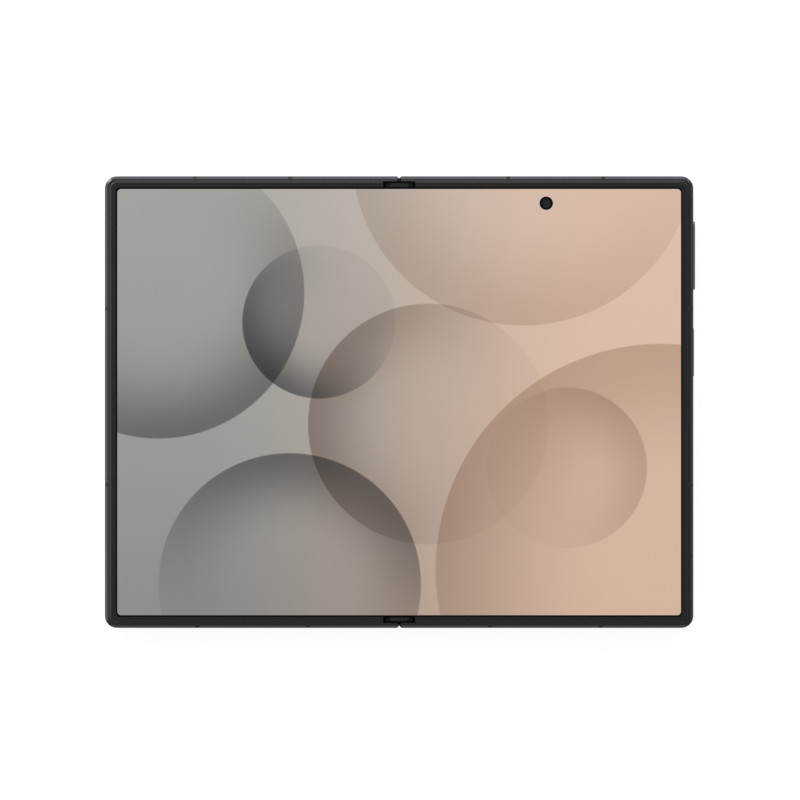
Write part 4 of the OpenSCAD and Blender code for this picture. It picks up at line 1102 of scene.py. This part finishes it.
@dataclass
class RearCameras:
    """The two rear cameras with their cover glasses, stepped throats and front lenses.

    Sizes are in millimetres. The throat's steps are pairs of radius and depth.
    """

    glass_depth: float = 0.3
    bevel: float = 0.06
    throat: tuple[Pair, ...] = ((4.3, 0.42), (3.9, 0.5), (3.0, 0.62), (2.6, 0.7))
    lens_radius: float = 2.3
    lens_top: float = 0.5
    lens_sag: float = 0.2

    def build(self) -> None:
        """Builds the pieces of both cameras."""
        low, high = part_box("lens_glass")
        r, floor = (high.x - low.x) / 2 / MM, (high.z - low.z) / MM
        steps = [(r, self.glass_depth)]
        for radius, depth in self.throat:
            steps += [(radius, steps[-1][1]), (radius, depth)]
        glass = [(0, 0), (r - self.bevel, 0), (r, self.bevel), (r, self.glass_depth), (0, self.glass_depth)]
        throat = [(r, floor), *steps, (self.lens_radius, steps[-1][1]), (self.lens_radius, floor)]
        lens = [(self.lens_radius * k, self.lens_top + self.lens_sag * k ** 2)
                for k in (i / 10 for i in range(11))]
        lens += [(self.lens_radius, floor), (0, floor)]
        centres = tuple((low.x + r * MM, y) for y in (high.y - r * MM, low.y + r * MM))
        coating = LensCoating("rear_coating", centres, self.lens_radius * MM)
        for name, profile, sides, finish, smooth in (("rear_cover_glass", glass, 64, LENS_COVER, 30.0),
                                                     ("rear_lens_throat", throat, 64, BLACK, 20.0),
                                                     ("rear_front_lens", lens, 48, coating, 30.0)):
            shape = bmesh.new()
            for x, y in centres:
                turned(profile, (x, y, low.z), sides, shape)
            piece = shown(name, shape, dressed(finish), smooth)
            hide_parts("lens_glass")
            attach(piece, "main_half")
        dress(RING_METAL, "lens_rings")
        dress(ANODISED, "camera_deck")
        dress(BLACK, "camera_barrels")


@dataclass
class Port:
    """The charging port's contacts on both faces of its tongue."""

    count: int = 12
    pitch: float = 0.5 * MM
    size: Point = (0.24 * MM, 3.0 * MM, 0.05 * MM)
    tongue_half: float = 0.35 * MM
    mouth_to_contact: float = 3.1 * MM

    def build(self) -> None:
        """Builds the contacts by a line of instances on each face."""
        low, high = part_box("usb_port_shell")
        at = (low + high) / 2
        recipe = Recipe("port_contacts", count=self.count, pitch=self.pitch, size=self.size,
                        middle=(at.x, low.y + self.mouth_to_contact, at.z), rise=self.tongue_half)
        bar = recipe.add("GeometryNodeMeshCube", None, {"Size": recipe.given("size")})
        span = recipe.given("pitch") * (recipe.given("count") - 1)
        bars = recipe.row(recipe.sock(bar), recipe.vector(span * -0.5, 0.0, 0.0))
        both = recipe.add("GeometryNodeJoinGeometry")
        for side in (1.0, -1.0):
            lift = recipe.vector(0.0, 0.0, recipe.given("rise") * side)
            recipe.feed(both.inputs[0], recipe.moved(bars, Translation=lift))
        home = recipe.moved(recipe.sock(both), Translation=recipe.given("middle"))
        piece = recipe.bake(home, GOLD)
        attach(piece, "main_half")
        dress(STEEL, "usb_port_shell")
        dress(TONGUE, "usb_tongue")


@dataclass
class SoundHoles:
    """Fine meshes that close the sound holes behind the rim."""

    radius: float = 0.5 * MM
    thickness: float = 0.1 * MM
    sides: int = 20
    pitch: float = 1.6 * MM
    depth: float = 0.9 * MM
    height: float = 4.15 * MM

    def row(self, name: str, half: Half, x: float, count: int, end: int) -> None:
        """Builds the meshes of one row of holes.

        Args:
            name: Name of the piece.
            half: The half that the row is on.
            x: Distance of the row's middle from the fold.
            count: Number of holes.
            end: 1 for the upper end and -1 for the lower end.
        """
        start = (half.side * x - (count - 1) / 2 * self.pitch, end * (CAD_BOX[1][1] - self.depth),
                 self.height)
        recipe = Recipe(name, count=count, pitch=self.pitch, radius=self.radius, start=start)
        disc = recipe.add("GeometryNodeMeshCylinder", {"fill_type": "NGON"}, {
            "Vertices": self.sides, "Radius": recipe.given("radius"), "Depth": self.thickness})
        upright = recipe.moved(recipe.sock(disc), Rotation=(math.pi / 2, 0, 0))
        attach(recipe.bake(recipe.row(upright, recipe.given("start")), MESH_WIRE), half.body)

    def build(self) -> None:
        """Builds every row."""
        self.row("main_speaker_mesh", Half.MAIN, 49.95 * MM, 5, -1)
        self.row("lower_microphone_mesh", Half.MAIN, 32.35 * MM, 1, -1)
        self.row("upper_microphone_mesh", Half.MAIN, 49.95 * MM, 1, 1)
        self.row("earpiece_mesh", Half.COVER, 27.0 * MM, 4, 1)
        self.row("cover_speaker_mesh", Half.COVER, 66.0 * MM, 5, -1)


@dataclass
class HingeRibbons:
    """The flexible circuits that cross the hinge, one strip on each side for each half."""

    bend_start: float = 4.4 * MM
    steps: int = 12
    rows: Pair = (-19.0 * MM, 19.0 * MM)
    width: float = 14.0 * MM

    def build(self) -> None:
        """Builds both halves of the ribbons, with fine lines across the fold."""
        low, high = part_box("hinge_ribbons")
        places = [self.bend_start * i / self.steps for i in range(self.steps + 1)] + [high.x]
        for half in Half:
            shape = bmesh.new()
            for y in self.rows:
                ends = (y - self.width / 2, y + self.width / 2)
                strip(shape, [(half.side * x, *ends) for x in places], low.z, high.z)
            piece = shown(f"{half.body}_ribbons", shape, dressed(Flex("ribbon_film")))
            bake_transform(piece)
            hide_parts("hinge_ribbons")


@dataclass
class Body:
    """The metal frames, trims, glasses, keys and everything else that keeps its CAD shape."""

    cap_step: float = 0.1 * MM

    def build(self) -> None:
        """Dresses the CAD nodes."""
        dress(ANODISED, "main_frame", "cover_frame", "card_tray")
        dress(KEY_METAL, "volume_key", "power_key")
        dress(TRIM, "main_trim", "cover_trim")
        dress(STRIP, "main_antenna_strips", "cover_antenna_strips")
        dress(BACK, "back_glass")
        low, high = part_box("cover_panel")
        outer_camera = tuple(middle("cover_camera"))[:2]
        dress(CoverGlass("cover_black_glass", tuple(low), tuple(high), outer_camera),
              "cover_glass", "cover_panel")
        dress(Phosphor("flash_lens", tuple(middle("flash_window"))), "flash_window", "flash_module")
        dress(CapPlastic("hinge_cap_plastic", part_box("spine_end_caps")[1].z - self.cap_step),
              "spine_end_caps")
        dress(SPINE_METAL, "spine_cover")
        dress(STEEL, "main_support_plate", "cover_support_plate", "shield_cans", "card_reader",
              "main_swing_brackets", "cover_swing_brackets", "main_arm_guides", "cover_arm_guides",
              "vibration_motor")
        dress(GEAR_STEEL, "hinge_blocks", "main_timing_arms", "cover_timing_arms",
              "main_idler_gears", "cover_idler_gears")
        dress(SCREW_STEEL, "main_bracket_screws", "cover_bracket_screws", "block_screws")
        dress(SHAFT_STEEL, "gear_shafts")
        dress(SPRING_STEEL, "friction_discs")
        dress(NICKEL, "main_magnets", "cover_magnets")
        dress(COPPER, "heat_spreader", "charging_coil")
        dress(Board("circuit_board"), "main_board", "cover_board", "usb_board")
        dress(Pouch("battery_pouch"), "main_battery", "cover_battery")
        dress(BLACK, "main_speaker", "cover_speaker", "earpiece", "cover_camera")
        dress(Flex("switch_film"), "key_switches")


# ---------- studio


@dataclass
class Lamp:
    """A soft area lamp that points at the phone."""

    name: str
    place: Point
    size: Pair
    radiance: float

    def build(self) -> None:
        """Builds the lamp."""
        data = bpy.data.lights.new(self.name, "AREA")
        data.shape = "RECTANGLE"
        data.size, data.size_y = self.size
        data.energy = self.radiance * math.pi * self.size[0] * self.size[1]
        lamp = in_scene(self.name, data)
        lamp.location = self.place
        lamp.rotation_euler = (-Vector(self.place)).to_track_quat("-Z", "Y").to_euler()


@dataclass
class Studio:
    """Floor, lamps, world and camera."""

    centre: Point = (0.24 * MM, 0.58 * MM, 6.4 * MM)
    view_width: float = 219.4 * MM
    distance: float = 2.0
    sensor_mm: float = 36.0
    ambient: float = 0.25
    floor_half: float = 4.0
    floor_gap: float = 0.02 * MM
    contact_reach: float = 20 * MM
    lamps: list[Lamp] = field(default_factory=lambda: [
        Lamp("left_lamp", (-1.0, 0.05, 0.36), (1.1, 0.6), 4.2),
        Lamp("back_lamp", (0.0, 1.0, 0.36), (1.1, 0.6), 5.6),
        Lamp("right_lamp", (1.0, 0.0, 0.36), (1.1, 0.6), 1.4),
        Lamp("front_lamp", (0.0, -1.0, 0.36), (1.1, 0.6), 2.0),
        Lamp("left_corner_lamp", (-0.8, 0.8, 0.5), (0.4, 0.6), 26.0),
        Lamp("right_corner_lamp", (0.8, 0.8, 0.5), (0.4, 0.6), 6.0),
        Lamp("left_high_lamp", (-0.62, 0.0, 1.3), (0.5, 0.5), 1.6),
        Lamp("back_high_lamp", (0.0, 0.62, 1.3), (0.5, 0.5), 2.0),
    ])

    def camera(self) -> None:
        """Makes the camera, straight above the screen, with a long lens."""
        data = bpy.data.cameras.new("camera")
        data.sensor_width = self.sensor_mm
        data.lens = self.sensor_mm * self.distance / self.view_width
        data.clip_start, data.clip_end = 0.1, 20.0
        camera = in_scene("camera", data)
        camera.location = (self.centre[0], self.centre[1], self.centre[2] + self.distance)
        bpy.context.scene.camera = camera

    @staticmethod
    def rays(g: Nodes) -> tuple[Sock, Sock]:
        """Tells rays apart: those of the camera, and those that meet a mirror or glass first."""
        path = g.add("ShaderNodeLightPath")
        return g.sock(path, "Is Camera Ray"), g.math(
            "MAXIMUM", g.sock(path, "Is Glossy Ray"), g.sock(path, "Is Transmission Ray"))

    def floor(self) -> None:
        """Makes the pale floor: white to the camera, with a painted contact shadow that darkens it close to
        the phone, and clear from below.
        """
        shape = bmesh.new()
        bmesh.ops.create_grid(shape, x_segments=1, y_segments=1, size=self.floor_half)
        bmesh.ops.translate(shape, verts=shape.verts[:], vec=(0, 0, -self.floor_gap))
        g = Graph("pale_floor")
        # Painted contact shadow: where ambient occlusion finds the phone close, the floor's colour goes
        # nearly black and its white glow goes out.
        near = g.add("ShaderNodeAmbientOcclusion", {"samples": 32}, {"Distance": self.contact_reach})
        outside_painted_shadow = g.step(g.sock(near, "AO"), 0.4, 0.48)
        pale = g.mix(g.noise(g.coordinates(), 0.4), (0.86, 0.86, 0.86, 1), (0.9, 0.9, 0.9, 1))
        g.principled(Base_Color=g.mix(outside_painted_shadow, (0.02, 0.02, 0.02, 1), pale), Roughness=0.7,
                     Specular_IOR_Level=0.1)
        glow = g.add("ShaderNodeEmission", None, {"Color": (1, 1, 1, 1), "Strength": 1.03})
        seen, mirrored = self.rays(g)
        white = g.math("MAXIMUM", seen * outside_painted_shadow, mirrored) * 0.9
        lit = g.add("ShaderNodeMixShader", None, {0: white, 1: g.sock(g.shader), 2: g.sock(glow)})
        behind = g.sock(g.add("ShaderNodeNewGeometry"), "Backfacing")
        clear = g.sock(g.add("ShaderNodeBsdfTransparent"))
        last = g.add("ShaderNodeMixShader", None, {0: behind, 1: g.sock(lit), 2: clear})
        g.feed(g.surface.inputs["Surface"], g.sock(last))
        shown("floor", shape, g.material)

    def world(self) -> None:
        """Lights the scene plainly and shows white to the camera and in reflections."""
        world = bpy.data.worlds.new("studio")
        bpy.context.scene.world = world
        world.use_nodes = True
        g = Nodes(world.node_tree)
        sky = g.tree.nodes["Background"].inputs
        g.feed(sky["Color"], (1, 1, 1, 1))
        g.feed(sky["Strength"], g.span(g.math("MAXIMUM", *self.rays(g)), self.ambient, 1.0))

    def build(self) -> None:
        """Builds the studio."""
        self.camera()
        self.floor()
        self.world()
        for lamp in self.lamps:
            lamp.build()
        bpy.context.scene.view_settings.view_transform = "Standard"


def main() -> None:
    """Builds the phone and its studio."""
    for part in (Studio(), FoldingScreen(), FrontCamera(), RearCameras(), Port(), SoundHoles(),
                 HingeRibbons(), Body()):
        LOG.info("building %s", type(part).__name__)
        part.build()


if __name__ == "__main__":
    main()
